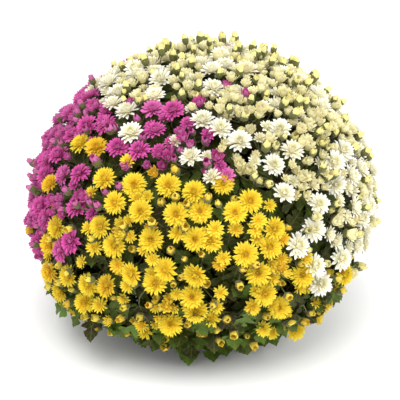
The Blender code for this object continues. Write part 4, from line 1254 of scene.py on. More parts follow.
for number, name in enumerate(spray_names):
    own = (all_heads["spray"] == number) & (all_heads["bloom"] == spray_colour[number])
    bloom_piece(name + "_blooms", own, COLOURS[spray_colour[number]], [name])
for number, colour in enumerate(COLOURS):
    own = (all_heads["bloom"] == number) & (all_heads["colour"] != number)
    nodes = [spray_names[spray] for spray in sorted(set(all_heads["spray"][own]))]
    bloom_piece(colour + "_strays", own, colour, nodes)

# %% [markdown]
# ## Stems, branches and stalks
# Below the blooms each plant is one woody stem that forks into limbs, each limb into branches, and each
# branch into the stalks of its heads. A stalk leaves its branch in the branch's direction and arrives
# square under its head, which a Bezier curve does from four points. All of one plant's stalks are drawn as
# one mesh of lines, whose points carry their thickness. A small tree turns the lines into tubes. Modelling
# tubes one by one would give the same, but the lines stay easy to change.

# %% Strands
STEM = {"radii": (0.0055, 0.0042), "age": 1.0, "count": 5}  # radii at both ends, age of wood, points
LIMB = {"radii": (0.0034, 0.0026), "age": 0.6, "count": 6}
BRANCH = {"radii": (0.0022, 0.0015), "age": 0.2, "count": 8}
STALK = {"radii": (0.0011, 0.0008), "age": 0.0, "count": 5}
STRAND_PULL = 0.35  # how far a strand holds its first and last direction, as a share of its span


def curved(start, leaving, arriving, end, count):
    """Points along a cubic Bezier curve."""
    t = np.linspace(0.0, 1.0, count)[:, None]
    first_half = (1 - t) ** 3 * start + 3 * t * (1 - t) ** 2 * leaving
    return first_half + 3 * t * t * (1 - t) * arriving + t ** 3 * end


def strand(start, way_out, end, way_in, radii, age, count):
    """A line that leaves start and arrives at end in the given directions, with its thickness and age."""
    pull = np.linalg.norm(end - start) * STRAND_PULL
    points = curved(start, start + way_out * pull, end - way_in * pull, end, count)
    return {"points": points, "radius": np.linspace(*radii, count), "wood": np.full(count, age)}


print("stem, limb, branch and stalk, mm:", [kind["radii"][0] * 1000 for kind in (STEM, LIMB, BRANCH, STALK)])

# %% Sprays that share a limb
GROUP_ROUNDS = 25


def grouped(places, groups):
    """Splits places into compact groups, which start at far places and are then evened out."""
    chosen = [int(np.argmax(places[:, 2]))]
    while len(chosen) < groups:
        distance = np.linalg.norm(places[:, None] - places[chosen][None], axis=2).min(axis=1)
        chosen.append(int(np.argmax(distance)))
    middles = places[chosen]
    for _ in range(GROUP_ROUNDS):
        label = np.linalg.norm(places[:, None] - middles[None], axis=2).argmin(axis=1)
        middles = np.array([places[label == group].mean(axis=0) for group in range(groups)])
    return label


heart = np.array(dome_heart)
seat_ways = unit((seats - heart) / np.array([DOME_REACH, DOME_REACH, DOME_RISE]))
print("seats of sprays:", len(seat_ways))

# %% Stems, limbs, branches and flower stalks
LIMB_SHARE = 0.45
LIMB_FLOOR = 0.142  # limbs end above the pot's rim
FORK_HEIGHT = 0.150
FORK_SPREAD = 1.15
SPRAYS_PER_LIMB = 4.5
STEM_FOOT = 0.001  # corners of a solid within this height of its lowest one are the stem's foot
CALYX_DEPTH = 0.0050  # from a head's foot down to the end of its stalk

woody, stalks = {}, {}
for plant, colour in enumerate(COLOURS):
    low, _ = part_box(colour + "_leafy_stems")
    node = frame["nodes"][colour + "_leafy_stems"].data
    bottom = [vert.co for vert in node.vertices if vert.co.z < low.z + STEM_FOOT]
    foot = np.array(sum(bottom, Vector()) / len(bottom))
    fork = np.array([foot[0] * FORK_SPREAD, foot[1] * FORK_SPREAD, FORK_HEIGHT])
    woody[colour] = [strand(foot, SKY, fork, SKY, **STEM)]
    own_seats = np.flatnonzero(spray_colour == plant)
    label = grouped(seats[own_seats], max(1, round(len(own_seats) / SPRAYS_PER_LIMB)))
    for group in range(label.max() + 1):
        members = own_seats[label == group]
        end = fork + (seats[members].mean(axis=0) - fork) * LIMB_SHARE
        end[2] = max(end[2], LIMB_FLOOR)
        way = unit(end - fork)
        woody[colour].append(strand(fork - SKY * STEM["radii"][1], SKY, end, way, **LIMB))
        for seat in members:
            woody[colour].append(strand(end, way, seats[seat], seat_ways[seat], **BRANCH))
    stalks[colour] = []
    for head in np.flatnonzero(all_heads["colour"] == plant):
        spray = all_heads["spray"][head]
        face = all_heads["face"][head]
        end = all_heads["place"][head] - face * CALYX_DEPTH
        stalks[colour].append(strand(seats[spray], seat_ways[spray], end, face, **STALK))
print({colour: (len(woody[colour]), len(stalks[colour])) for colour in COLOURS})

# %% The tree that turns lines into tubes
tube_tree, sizes = new_tree("tubes", {"Sides": 6, "Material": MATERIAL_INPUT})
lines = add(tube_tree, "GeometryNodeMeshToCurve", {0: sizes.outputs["Geometry"]})
radius = add(tube_tree, "GeometryNodeInputNamedAttribute", {"Name": "radius"}, data_type="FLOAT")
ring = add(tube_tree, "GeometryNodeCurvePrimitiveCircle", {
    "Resolution": sizes.outputs["Sides"], "Radius": 1.0,
})
tubes = add(tube_tree, "GeometryNodeCurveToMesh", {
    "Curve": lines, "Profile Curve": ring.outputs["Curve"], "Scale": radius,
})
tubes = add(tube_tree, "GeometryNodeRemoveAttribute", {"Geometry": tubes, "Name": "radius"})
tubes = add(tube_tree, "GeometryNodeSetShadeSmooth", {"Geometry": tubes})
real = add(tube_tree, "GeometryNodeRealizeInstances", {"Geometry": tubes})
painted = add(tube_tree, "GeometryNodeSetMaterial", {
    "Geometry": real, "Material": sizes.outputs["Material"],
})
add(tube_tree, "NodeGroupOutput", {0: painted})


def line_mesh(name, strands):
    """All the lines as one mesh of points and edges."""
    places = np.concatenate([line["points"] for line in strands])
    marks = {key: np.concatenate([line[key] for line in strands]) for key in ("radius", "wood")}
    edges = []
    start = 0
    for line in strands:
        count = len(line["points"])
        edges += [(start + step, start + step + 1) for step in range(count - 1)]
        start += count
    return point_mesh(name, places, marks, edges)


print("nodes in the tube tree:", len(tube_tree.nodes))

# %% [markdown]
# ## Green skin, young and woody
# A young chrysanthemum stalk is green and finely ribbed, with short grey hairs that take off its gloss.
# Lower down it turns to brown wood. One material does both: each line carries its age, and a noise along
# the stem roughens the change from green to brown. The ribs run along the stalk, so they are a noise that
# is stretched upwards.

# %% The stem material
RIB_SPACING = 0.0006  # between the ribs of a green stalk
BARK_GRAIN = 0.004  # size of a flake of bark
ALONG_STALK = (1.0, 1.0, 0.12)  # stretches a pattern eight times along the stalk

stem_skin, tree = new_material("green_stem_and_bark")
texture = add(tree, "ShaderNodeTexCoord")
stretched = add(tree, "ShaderNodeMapping", {"Vector": texture.outputs["Object"], "Scale": ALONG_STALK})
ribs = add(tree, "ShaderNodeTexNoise", {"Vector": stretched, "Scale": 1.0 / RIB_SPACING, "Detail": 2.0})
flakes = add(tree, "ShaderNodeTexNoise", {"Vector": stretched, "Scale": 1.0 / BARK_GRAIN, "Detail": 5.0})
age = add(tree, "ShaderNodeAttribute", attribute_name="wood").outputs["Fac"]
bark_share = add(tree, "ShaderNodeMath", {0: flakes, 1: 0.5, 2: age}, operation="MULTIPLY_ADD")
bark_share = add(tree, "ShaderNodeMapRange", {"Value": bark_share, "From Min": 0.45, "From Max": 0.95})
green = add(tree, "ShaderNodeMix", {
    "Factor": ribs, "A": linear("#4a4c24"), "B": linear("#6d7036"),
}, data_type="RGBA")
bark = add(tree, "ShaderNodeMix", {
    "Factor": flakes, "A": linear("#4a3a28"), "B": linear("#86745a"),
}, data_type="RGBA")
skin = add(tree, "ShaderNodeMix", {"Factor": bark_share, "A": green, "B": bark}, data_type="RGBA")
height = add(tree, "ShaderNodeMix", {"Factor": bark_share, "A": ribs, "B": flakes}, data_type="FLOAT")
relief = add(tree, "ShaderNodeBump", {"Height": height, "Strength": 0.5, "Distance": 0.0004})
surface = add(tree, "ShaderNodeBsdfPrincipled", {
    "Base Color": skin, "Roughness": 0.6, "Specular IOR Level": 0.3, "Normal": relief,
    "Sheen Weight": 0.15,
})
add(tree, "ShaderNodeOutputMaterial", {"Surface": surface})
print(stem_skin.name)

# %% [markdown]
# ## Calyxes
# Under every head sits a green cup of overlapping bracts. It is all that shows of a head from behind, and
# it makes up half of a bud. It is a turned cup with six sides, whose rim goes up and down so that it reads
# as bract tips.

# %% The two calyxes
CALYX_PROFILES = {  # radius and height of each ring, from the stalk up
    "calyx_0_open": ((0.0009, -0.0052), (0.0030, -0.0044), (0.0048, -0.0018), (0.0052, 0.0002)),
    "calyx_1_bud": ((0.0009, -0.0046), (0.0025, -0.0034), (0.0032, -0.0012), (0.0033, 0.0010)),
}
CALYX_SIDES = 6
BRACT_TIP = 0.0010  # the rim's tips stand this much over its notches


def calyx(name, profile, collection):
    """A cup of bracts round a head's foot."""
    work = bmesh.new()
    rings = []
    for number, (radius, height) in enumerate(profile):
        ring = []
        for side in range(CALYX_SIDES):
            angle = 2.0 * math.pi * side / CALYX_SIDES
            tip = BRACT_TIP * (side % 2) if number == len(profile) - 1 else 0.0
            corner = (radius * math.cos(angle), radius * math.sin(angle), height + tip)
            ring.append(work.verts.new(corner))
        rings.append(ring)
    for lower, upper in zip(rings, rings[1:]):
        for side in range(CALYX_SIDES):
            after = (side + 1) % CALYX_SIDES
            work.faces.new((lower[side], lower[after], upper[after], upper[side]))
    for face in work.faces:
        face.smooth = True
    mesh = bpy.data.meshes.new(name)
    work.to_mesh(mesh)
    work.free()
    collection.objects.link(bpy.data.objects.new(name, mesh))


calyxes = helper_collection("calyxes")
for name, profile in CALYX_PROFILES.items():
    calyx(name, profile, calyxes)
for plant, colour in enumerate(COLOURS):
    own = all_heads["colour"] == plant
    stage = all_heads["stage"][own]
    marks = {
        "kind": (stage == BUD).astype(int), "face": all_heads["face"][own], "side": all_heads["side"][own],
        "size": all_heads["size"][own], "wood": np.zeros(int(own.sum())),
    }
    points = point_mesh(colour + "_calyxes", all_heads["place"][own], marks)
    inputs = {"Kinds": calyxes, "Material": stem_skin}
    piece = grown(colour + "_calyxes", points, scatter_tree, inputs, scene_root)
    finished(piece, [colour + "_leafy_stems"])

# %% [markdown]
# ## Cut leaves
# A chrysanthemum leaf is cut into rounded lobes, two or three on each side, and each lobe is toothed. The
# outline of one half is a short list of points, and a zipper of triangles joins it to the midrib. The leaf
# is folded a little along its midrib and arches down towards its tip. Four such leaves, each folded and
# arched differently, are enough for a bush.

# %% A leaf's outline
LEAF_OUTLINE = (  # along and across, as shares of the leaf's length
    (0.02, 0.012), (0.09, 0.05), (0.13, 0.14), (0.17, 0.215), (0.20, 0.20), (0.24, 0.25), (0.28, 0.21),
    (0.31, 0.10), (0.36, 0.17), (0.38, 0.28), (0.43, 0.31), (0.45, 0.37), (0.50, 0.36), (0.55, 0.38),
    (0.58, 0.31), (0.60, 0.22), (0.62, 0.13), (0.67, 0.18), (0.69, 0.26), (0.74, 0.27), (0.77, 0.24),
    (0.82, 0.23), (0.85, 0.16), (0.90, 0.14), (0.94, 0.07), (1.0, 0.0),
)
LEAF_RIB = (0.02, 0.18, 0.34, 0.60, 0.82, 1.0)
print("a leaf is", 2.0 * max(across for _, across in LEAF_OUTLINE), "times as wide as long")

# %% Leaf shapes
LEAF_WAVES = (14.0, 3.0)  # how fast a leaf waves along itself and across
WAVE_RISE = 4.0  # how soon it does so away from the midrib
PAST_THE_TIP = 9.0
LEAF_FORMS = (
    {"fold": 0.30, "arch": 0.12, "wave": 0.03}, {"fold": 0.16, "arch": 0.30, "wave": 0.05},
    {"fold": 0.42, "arch": 0.05, "wave": 0.04}, {"fold": 0.10, "arch": 0.18, "wave": 0.07},
)


def leaf_corner(work, form, marks, along, across):
    """One corner of a leaf at its own along and across, folded, arched and waved. It notes both in marks."""
    wave = math.sin(LEAF_WAVES[0] * along + LEAF_WAVES[1] * across) * min(1.0, WAVE_RISE * abs(across))
    lift = form["fold"] * abs(across) - form["arch"] * along * along + form["wave"] * wave
    vert = work.verts.new((along, across, lift))
    marks[vert] = (along, across)
    return vert


def zip_half(work, rib, edge, turned_over):
    """A zipper of triangles between the midrib and one edge, which steps on whichever side lags behind."""
    on_rib = on_edge = 0
    while on_rib < len(rib) - 1 or on_edge < len(edge) - 1:
        rib_next = LEAF_RIB[on_rib + 1] if on_rib < len(rib) - 1 else PAST_THE_TIP
        edge_next = LEAF_OUTLINE[on_edge + 1][0] if on_edge < len(edge) - 1 else PAST_THE_TIP
        rib_lags = rib_next <= edge_next
        trio = (rib[on_rib], edge[on_edge], rib[on_rib + 1] if rib_lags else edge[on_edge + 1])
        if len(set(trio)) == 3:
            work.faces.new(trio[::-1] if turned_over else trio)
        on_rib += rib_lags
        on_edge += not rib_lags


def leaf(name, form, collection):
    """A cut leaf, one metre long, along +X with its upper side up. It keeps its own along and across."""
    work = bmesh.new()
    marks = {}
    rib = [leaf_corner(work, form, marks, along, 0.0) for along in LEAF_RIB]
    for hand in (-1.0, 1.0):
        edge = [leaf_corner(work, form, marks, along, hand * across) for along, across in LEAF_OUTLINE[:-1]]
        zip_half(work, rib, edge + [rib[-1]], hand > 0)
    for face in work.faces:
        face.smooth = True
    work.verts.index_update()
    pairs = [marks[vert] for vert in work.verts]
    mesh = bpy.data.meshes.new(name)
    work.to_mesh(mesh)
    work.free()
    for place, label in enumerate(("along", "across")):
        values = [pair[place] for pair in pairs]
        mesh.attributes.new(label, "FLOAT", "POINT").data.foreach_set("value", values)
    made = bpy.data.objects.new(name, mesh)
    collection.objects.link(made)
    return made


leaf_kinds = helper_collection("leaves")
for number, form in enumerate(LEAF_FORMS):
    made = leaf(f"leaf_{number}", form, leaf_kinds)
    print(made.name, triangles(made), "triangles")

# %% [markdown]
# ## A leaf's skin
# The upper side is a deep green with a faint waxy shine, and paler veins run from the midrib into the lobes.
# Where a leaf lies deep in the bush its green is painted dark and brownish, a painted shade. The underside is
# paler, dull and downy. The veins follow the leaf and not the room, so they are drawn from the leaf's own
# along and across attributes: lines of equal distance from the midrib, slanted forward.

# %% A leaf's veins
VEIN_COUNT = 6.0  # side veins over the length of a leaf
VEIN_SLANT = 0.9  # how far a vein runs forward for each step outwards

leaf_skin, tree = new_material("cut_leaf_skin")
along = add(tree, "ShaderNodeAttribute", attribute_name="along").outputs["Fac"]
across = add(tree, "ShaderNodeAttribute", attribute_name="across").outputs["Fac"]
tint = add(tree, "ShaderNodeAttribute", attribute_name="tint").outputs["Fac"]
from_rib = add(tree, "ShaderNodeMath", {0: across}, operation="ABSOLUTE")
midrib = add(tree, "ShaderNodeMapRange", {
    "Value": from_rib, "From Min": 0.006, "From Max": 0.022, "To Min": 1.0, "To Max": 0.0,
})
slanted = add(tree, "ShaderNodeMath", {0: from_rib, 1: -VEIN_SLANT, 2: along}, operation="MULTIPLY_ADD")
slanted = add(tree, "ShaderNodeMath", {0: slanted, 1: VEIN_COUNT}, operation="MULTIPLY")
beside = add(tree, "ShaderNodeMath", {0: slanted, 1: 0.5}, operation="PINGPONG")
side_veins = add(tree, "ShaderNodeMapRange", {
    "Value": beside, "From Min": 0.02, "From Max": 0.10, "To Min": 0.7, "To Max": 0.0,
})
veins = add(tree, "ShaderNodeMath", {0: midrib, 1: side_veins}, operation="MAXIMUM")
print("nodes that draw the veins:", len(tree.nodes))

# %% A leaf's green and its shine
LEAF_MOTTLE = 0.012  # size of the lighter and darker patches
LEAF_PORE = 1 / 1400  # metres: pores of 0.7 mm, as fine as the picture can show

texture = add(tree, "ShaderNodeTexCoord")
mottle = add(tree, "ShaderNodeTexNoise", {
    "Vector": texture.outputs["Object"], "Scale": 1.0 / LEAF_MOTTLE, "Detail": 4.0,
})
# From dark brown at a low tint to green at a high one. The tint is a leaf's own random tone, and for leaves
# deep in the bush it is also lowered as painted shade.
blade = add(tree, "ShaderNodeMix", {
    "Factor": tint, "A": linear("#2a1d0a"), "B": linear("#66862e"),
}, data_type="RGBA")
patches = add(tree, "ShaderNodeMapRange", {
    "Value": mottle, "From Min": 0.3, "From Max": 0.7, "To Max": 0.5,
})
blade = add(tree, "ShaderNodeMix", {
    "Factor": patches, "A": blade, "B": linear("#241f0c"),
}, data_type="RGBA")
blade = add(tree, "ShaderNodeMix", {
    "Factor": add(tree, "ShaderNodeMath", {0: veins, 1: 0.45}, operation="MULTIPLY"),
    "A": blade, "B": linear("#6d7c3c"),
}, data_type="RGBA")
behind = add(tree, "ShaderNodeNewGeometry").outputs["Backfacing"]
blade = add(tree, "ShaderNodeMix", {"Factor": behind, "A": blade, "B": linear("#586434")}, data_type="RGBA")
pores = add(tree, "ShaderNodeTexNoise", {
    "Vector": texture.outputs["Object"], "Scale": 1.0 / LEAF_PORE, "Detail": 2.0,
})
height = add(tree, "ShaderNodeMath", {0: veins, 1: -0.8, 2: pores}, operation="MULTIPLY_ADD")
relief = add(tree, "ShaderNodeBump", {"Height": height, "Strength": 0.5, "Distance": 0.0003})
surface = add(tree, "ShaderNodeBsdfPrincipled", {
    "Base Color": blade, "Roughness": 0.55, "Specular IOR Level": 0.16, "Normal": relief,
})
through = add(tree, "ShaderNodeBsdfTranslucent", {"Color": linear("#607420")})
both = add(tree, "ShaderNodeMixShader", {0: 0.08, 1: surface, 2: through})
add(tree, "ShaderNodeOutputMaterial", {"Surface": both})
print(leaf_skin.name)

# %% [markdown]
# ## Where the leaves grow
# Behind the blooms the leaves close the bush, so that only dark gaps show between the heads. They stand in
# layers: one close below the heads, slanted outwards to the light, one deeper that makes the gaps dark, a
# few that come out through the windows between sprays, smaller ones between the thin blooms of the lower
# edge, and the skirt, rows of leaves that hang over the pot. A golden-angle spiral spreads a layer evenly
# over the dome, and a seeded jitter takes its order away.

# %% Measures of the leaf layers
LEAF_SEED = 57
LEAF_JITTER = 0.03  # how far a leaf's direction strays from the spiral, in radians
LEAF_LAYERS = (
    {"count": 600, "lowest": -0.80, "depth": (0.016, 0.028), "slope": (5, 45), "length": (0.042, 0.058)},
    {"count": 300, "lowest": -0.85, "depth": (0.034, 0.060), "slope": (0, 35), "length": (0.054, 0.072)},
)
EDGE_LEAVES = 300  # leaves that show between the thin blooms of the lower edge
EDGE_LEVELS = (-0.72, -0.28)
EDGE_DEPTH = (-0.002, 0.018)
EDGE_SLOPE = (10, 50)
EDGE_LENGTH = (0.030, 0.044)
WINDOW_LEAVES = 5
WINDOW_JITTER = 0.035
WINDOW_DEPTH = (0.014, 0.026)
WINDOW_SLOPE = (25, 60)
WINDOW_LENGTH = (0.036, 0.046)
SKIRT_ROWS = (
    {"radius": 0.190, "height": 0.104, "dip": 40.0, "length": 0.038, "count": 12, "arc": (165, 235)},
    {"radius": 0.192, "height": 0.088, "dip": 42.0, "length": 0.040, "count": 9, "arc": (172, 228)},
    {"radius": 0.186, "height": 0.112, "dip": 30.0, "length": 0.036, "count": 6, "arc": (318, 345)},
    {"radius": 0.174, "height": 0.096, "dip": 30.0, "length": 0.038, "count": 46},
    {"radius": 0.158, "height": 0.080, "dip": 32.0, "length": 0.038, "count": 44},
    {"radius": 0.140, "height": 0.070, "dip": 34.0, "length": 0.038, "count": 40},
    {"radius": 0.130, "height": 0.062, "dip": 36.0, "length": 0.040, "count": 38},
    {"radius": 0.118, "height": 0.054, "dip": 34.0, "length": 0.042, "count": 34},
    {"radius": 0.108, "height": 0.044, "dip": 28.0, "length": 0.044, "count": 30},
    {"radius": 0.101, "height": 0.034, "dip": 12.0, "length": 0.044, "count": 26},
)
SKIRT_WOBBLE = {  # how far a leaf strays from its row at most
    "place": 0.4, "dip": 7.0, "swing": 0.55, "rise": 0.005, "length": 0.10,
}
LEAF_FLOOR = 0.004  # no leaf tip is lower
LEAF_DROOP = 0.12  # a tip hangs so much lower than the leaf's straight line, as a share of its length
SIDEWAYS = np.array([0.3, 0.1, 1.0])  # a leaf's first direction is square to this one
print("leaves in the layers:", sum(layer["count"] for layer in LEAF_LAYERS),
      "and at most in the skirt:", sum(row["count"] for row in SKIRT_ROWS))

# %% Leaves among the blooms
leaf_draw = np.random.default_rng(LEAF_SEED)
leaves = {"base": [], "heading": [], "face": [], "size": []}


def keep_leaf(base, heading, face, length):
    """Adds a leaf to the list: where its foot is, which way it points and faces, and its length."""
    for key, value in zip(leaves, (base, heading, face, length)):
        leaves[key].append(value)


def spiral_way(number, level):
    """The direction of a leaf on a golden-angle spiral, at a level from -1 below to 1 above."""
    angle = GOLDEN_ANGLE * number
    return np.array([math.cos(angle), math.sin(angle), 0.0]) * math.sqrt(1.0 - level * level) + SKY * level


def place_leaf(way, depth, slope, length, around):
    """A leaf whose middle lies at a depth below the blooms. It slopes outwards from the dome's surface."""
    outward = dome_normal(way)
    flat = unit(np.cross(outward, SIDEWAYS if abs(outward[2]) < UPRIGHT else [1.0, 0.0, 0.0]))
    flat = flat * math.cos(around) + np.cross(outward, flat) * math.sin(around)
    heading = flat * math.cos(slope) + outward * math.sin(slope)
    face = outward * math.cos(slope) - flat * math.sin(slope)
    keep_leaf(bush_point(way, depth) - heading * 0.5 * length, heading, face, length)


for layer in LEAF_LAYERS:
    for number in range(layer["count"]):
        level = 1.0 - (number + 0.5) / layer["count"] * (1.0 - layer["lowest"])
        way = unit(spiral_way(number, level) + leaf_draw.normal(scale=LEAF_JITTER, size=3))
        depth = leaf_draw.uniform(*layer["depth"])
        slope = math.radians(leaf_draw.uniform(*layer["slope"]))
        length = leaf_draw.uniform(*layer["length"])
        place_leaf(way, depth, slope, length, leaf_draw.uniform(0.0, 2.0 * math.pi))
for window in windows:
    for _ in range(WINDOW_LEAVES):
        way = unit(main["site"][window] + leaf_draw.normal(scale=WINDOW_JITTER, size=3))
        slope = math.radians(leaf_draw.uniform(*WINDOW_SLOPE))
        depth = leaf_draw.uniform(*WINDOW_DEPTH)
        length = leaf_draw.uniform(*WINDOW_LENGTH)
        place_leaf(way, depth, slope, length, leaf_draw.uniform(0.0, 2.0 * math.pi))
for number in range(EDGE_LEAVES):
    way = spiral_way(number, leaf_draw.uniform(*EDGE_LEVELS))
    slope = math.radians(leaf_draw.uniform(*EDGE_SLOPE))
    depth = leaf_draw.uniform(*EDGE_DEPTH)
    length = leaf_draw.uniform(*EDGE_LENGTH)
    place_leaf(way, depth, slope, length, leaf_draw.uniform(0.0, 2.0 * math.pi))
print("leaves among the blooms:", len(leaves["size"]))

# %% The skirt over the pot
for row in SKIRT_ROWS:
    for number in range(row["count"]):
        wobble = dict(zip(SKIRT_WOBBLE, leaf_draw.uniform(-1.0, 1.0, 5) * list(SKIRT_WOBBLE.values())))
        first, last = row.get("arc", (0, 360))
        angle = math.radians(first + (last - first) * (number + wobble["place"]) / row["count"])
        outward = np.array([math.cos(angle), math.sin(angle), 0.0])
        sideways = np.array([-outward[1], outward[0], 0.0])
        dip = math.radians(row["dip"] + wobble["dip"])
        heading = unit(outward * math.cos(dip) - SKY * math.sin(dip) + sideways * wobble["swing"])
        base = outward * row["radius"] + SKY * (row["height"] + wobble["rise"])
        length = row["length"] * (1.0 + wobble["length"])
        if base[2] + heading[2] * length - LEAF_DROOP * length >= LEAF_FLOOR:
            keep_leaf(base, heading, SKY * math.cos(dip) + outward * math.sin(dip), length)
leaves = {key: np.array(values) for key, values in leaves.items()}
leaves["plant"] = plant_of(unit(leaves["base"] - heart))
print("leaves:", len(leaves["size"]), "by plant:", np.bincount(leaves["plant"]).tolist())

# %% [markdown]
# ## Leaves on their own stalks
# Each leaf has a short stalk of its own. It starts at the nearest point of the plant's branches or flower
# stalks, so that no leaf hangs in the air. Low over the pot the leaves stand in full light and keep their
# green, while deep in the bush they are painted darker and browner, as painted shade from the blooms over
# them. Each plant's leaves, branches and stalks stand for its one green solid.

# %% The plants' green parts
PETIOLE = {"radii": (0.0010, 0.0007), "age": 0.0, "count": 4}
NEVER_ZERO = 1e-6
TWIG_FROM = 2  # leaves grow from a strand's third point on
STALK_STEP = 3  # and on every third flower stalk
TUBE_SIDES = {"branches": 8, "stalks": 4}
LIT_BELOW = 0.135  # leaves lower than this stand free of the blooms
# Leaves higher than LIT_BELOW keep only this share of their random tint: painted shade, which turns them
# darker and browner deep in the bush.
DEEP_PAINTED_SHADE = 0.45

leaves["tint"] = leaf_draw.uniform(size=len(leaves["size"]))
# Painted shade: the leaves above LIT_BELOW get a lower tint, so their colour runs darker and browner.
leaves["tint"] *= np.where(leaves["base"][:, 2] < LIT_BELOW, 1.0, DEEP_PAINTED_SHADE)
leaves["kind"] = leaf_draw.integers(0, len(LEAF_FORMS), len(leaves["size"]))
leaves["side"] = leaves["heading"]
for plant, colour in enumerate(COLOURS):
    own = leaves["plant"] == plant
    carriers = woody[colour][1:] + stalks[colour][::STALK_STEP]
    twigs = np.concatenate([line["points"][TWIG_FROM:] for line in carriers])
    for base, heading in zip(leaves["base"][own], leaves["heading"][own]):
        root = twigs[np.linalg.norm(twigs - base, axis=1).argmin()]
        stalks[colour].append(strand(root, unit(base - root + NEVER_ZERO), base, heading, **PETIOLE))
    marks = {key: leaves[key][own] for key in (*HEAD_MARKS, "tint")}
    points = point_mesh(colour + "_leaves", leaves["base"][own], marks)
    inputs = {"Kinds": leaf_kinds, "Material": leaf_skin}
    piece = grown(colour + "_leaves", points, scatter_tree, inputs, scene_root)
    finished(piece, [colour + "_leafy_stems"])
    for label, strands in (("branches", woody[colour]), ("stalks", stalks[colour])):
        name = f"{colour}_{label}"
        inputs = {"Sides": TUBE_SIDES[label], "Material": stem_skin}
        piece = grown(name, line_mesh(name, strands), tube_tree, inputs, scene_root)
        finished(piece, [colour + "_leafy_stems"])

# %% [markdown]
# ## The grower's pot
# The foliage hides the pot in the picture. Such plants are sold in a thin black polypropylene pot, blown or
# moulded in one piece. Its solid already has the right shape, so it keeps it and only gets its surface: a
# satin black that is a little lighter where it has been handled, faint rings from the mould, and dried
# splashes of soil near the rim and foot. All of it comes from the height on the pot and from noise.

# %% The pot's material
MOULD_RING = 0.0012  # spacing of the fine rings that the mould leaves
SPLASH_SIZE = 0.006
SCUFF_SIZE = 1 / 60  # metres: places of 17 mm where hands have made it lighter
SPLASHED_RIM = 0.030  # how far the dirt reaches down from the rim
SPLASHED_FOOT = 0.025  # and up from the foot
_, POT_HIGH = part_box("pot")

pot_plastic, tree = new_material("black_moulded_polypropylene")
texture = add(tree, "ShaderNodeTexCoord")
place = add(tree, "ShaderNodeSeparateXYZ", {0: texture.outputs["Object"]})
scuffs = add(tree, "ShaderNodeTexNoise", {
    "Vector": texture.outputs["Object"], "Scale": 1.0 / SCUFF_SIZE, "Detail": 5.0,
})
shell = add(tree, "ShaderNodeMix", {
    "Factor": scuffs, "A": linear("#1b1b1c"), "B": linear("#2d2d2f"),
}, data_type="RGBA")
splashes = add(tree, "ShaderNodeTexNoise", {
    "Vector": texture.outputs["Object"], "Scale": 1.0 / SPLASH_SIZE, "Detail": 4.0,
})
from_top = add(tree, "ShaderNodeMapRange", {
    "Value": place.outputs["Z"], "To Max": 0.16,
    "From Min": POT_HIGH.z - SPLASHED_RIM, "From Max": POT_HIGH.z,
})
from_foot = add(tree, "ShaderNodeMapRange", {
    "Value": place.outputs["Z"], "From Min": SPLASHED_FOOT, "From Max": 0.0, "To Max": 0.14,
})
dirty = add(tree, "ShaderNodeMath", {0: from_top, 1: from_foot}, operation="ADD")
dirty = add(tree, "ShaderNodeMath", {0: splashes, 1: dirty}, operation="ADD")
dirty = add(tree, "ShaderNodeMapRange", {"Value": dirty, "From Min": 0.60, "From Max": 0.68})
shell = add(tree, "ShaderNodeMix", {"Factor": dirty, "A": shell, "B": linear("#5a4734")}, data_type="RGBA")
rings = add(tree, "ShaderNodeMath", {
    0: place.outputs["Z"], 1: 2.0 * math.pi / MOULD_RING,
}, operation="MULTIPLY")
rings = add(tree, "ShaderNodeMath", {0: rings}, operation="SINE")
height = add(tree, "ShaderNodeMath", {0: rings, 1: 0.2, 2: dirty}, operation="MULTIPLY_ADD")
relief = add(tree, "ShaderNodeBump", {"Height": height, "Strength": 0.4, "Distance": 0.0002})
roughness = add(tree, "ShaderNodeMapRange", {"Value": dirty, "To Min": 0.38, "To Max": 0.9})
surface = add(tree, "ShaderNodeBsdfPrincipled", {
    "Base Color": shell, "Roughness": roughness, "IOR": 1.49, "Normal": relief,
})
add(tree, "ShaderNodeOutputMaterial", {"Surface": surface})
frame["nodes"]["pot"].material_slots[0].material = pot_plastic
print(pot_plastic.name, "on a pot", round(POT_HIGH.z * 1000), "mm high")

# %% [markdown]
# ## Potting soil
# The soil is peat with bark and a little white perlite. From above it shows as crumbs, so the solid keeps
# its place under them with a matching noise, and a few hundred real crumbs lie on it. A crumb is a rough
# ball of 20 faces, pushed out of shape. The scatter tree that set the heads on the dome sets them on the
# soil too.

# %% The soil's materials
CRUMB_SEED = 91
CRUMB_COUNTS = {"peat": 520, "perlite": 90}
CRUMB_SIZES = {"peat": (0.0016, 0.0038), "perlite": (0.0010, 0.0020)}
CRUMB_FORMS = 3
CRUMB_BUMPS = (0.65, 1.25)
CRUMB_MARGIN = 0.004  # no crumb lies nearer to the soil's edge
_, SOIL_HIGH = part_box("soil")
SOIL_RADIUS = SOIL_HIGH.x - CRUMB_MARGIN
SOIL_CROWN = 0.006  # how much higher the soil is in the middle


def grains(name, dark, pale, size):
    """Crumbly matter of two colours."""
    material, tree = new_material(name)
    texture = add(tree, "ShaderNodeTexCoord")
    coarse = add(tree, "ShaderNodeTexVoronoi", {"Vector": texture.outputs["Object"], "Scale": 1.0 / size})
    fine = add(tree, "ShaderNodeTexNoise", {
        "Vector": texture.outputs["Object"], "Scale": 3.0 / size, "Detail": 5.0,
    })
    fine = add(tree, "ShaderNodeMath", {0: fine, 1: 0.5}, operation="MULTIPLY")
    mixed = add(tree, "ShaderNodeMath", {
        0: coarse.outputs["Distance"], 1: 0.6, 2: fine,
    }, operation="MULTIPLY_ADD")
    body = add(tree, "ShaderNodeMix", {
        "Factor": mixed, "A": linear(dark), "B": linear(pale),
    }, data_type="RGBA")
    relief = add(tree, "ShaderNodeBump", {"Height": mixed, "Strength": 0.8, "Distance": size})
    surface = add(tree, "ShaderNodeBsdfPrincipled", {
        "Base Color": body, "Roughness": 0.95, "Specular IOR Level": 0.2, "Normal": relief,
    })
    add(tree, "ShaderNodeOutputMaterial", {"Surface": surface})
    return material


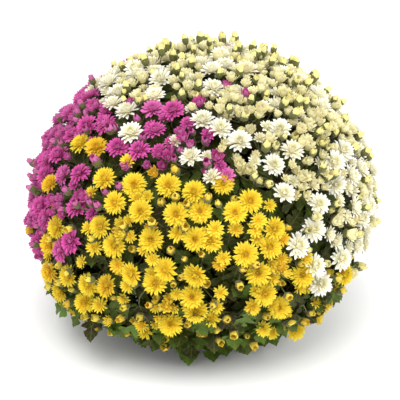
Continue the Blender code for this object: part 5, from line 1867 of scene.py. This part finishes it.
peat = grains("moist_peat", "#1c130c", "#4a3524", 0.0030)
perlite = grains("white_perlite", "#c9c6bd", "#f2f0ea", 0.0012)
frame["nodes"]["soil"].material_slots[0].material = peat
print("soil materials:", peat.name, perlite.name)

# %% Crumbs of peat and perlite
crumb_draw = np.random.default_rng(CRUMB_SEED)
crumb_kinds = helper_collection("crumbs")
for number in range(CRUMB_FORMS):
    lump = bmesh.new()
    bmesh.ops.create_icosphere(lump, subdivisions=1, radius=1.0)
    for vert in lump.verts:
        vert.co *= crumb_draw.uniform(*CRUMB_BUMPS)
    mesh = bpy.data.meshes.new(f"crumb_{number}")
    lump.to_mesh(mesh)
    lump.free()
    crumb_kinds.objects.link(bpy.data.objects.new(mesh.name, mesh))
for name, material in (("peat", peat), ("perlite", perlite)):
    count = CRUMB_COUNTS[name]
    radius = SOIL_RADIUS * np.sqrt(crumb_draw.uniform(size=count))
    angle = crumb_draw.uniform(0.0, 2.0 * math.pi, count)
    level = SOIL_HIGH.z - SOIL_CROWN * (radius / SOIL_RADIUS) ** 2
    places = np.stack([radius * np.cos(angle), radius * np.sin(angle), level], axis=1)
    faces = unit(crumb_draw.normal(size=(count, 3)))
    marks = {
        "kind": crumb_draw.integers(0, CRUMB_FORMS, count), "face": faces,
        "side": side_of(faces, angle), "size": crumb_draw.uniform(*CRUMB_SIZES[name], count),
    }
    points = point_mesh(name, places, marks)
    inputs = {"Kinds": crumb_kinds, "Material": material}
    piece = grown(name + "_crumbs", points, scatter_tree, inputs, scene_root)
    finished(piece, [])

# %% [markdown]
# ## What is taken away
# The single heads, leaves, calyxes and crumbs were only patterns to copy from. Left in the scene they would
# show as loose pieces, so they are removed. The dressing may stand out of the solids by a few per cent and
# no more.

# %% Clearing the patterns
for collection in [*kinds.values(), calyxes, leaf_kinds, crumb_kinds]:
    for thing in list(collection.objects):
        bpy.data.objects.remove(thing)
    bpy.data.collections.remove(collection)
print("pieces added:", len(added))

# %% Sizes and the end
print("triangles added:", sum(added), "largest piece:", max(added))
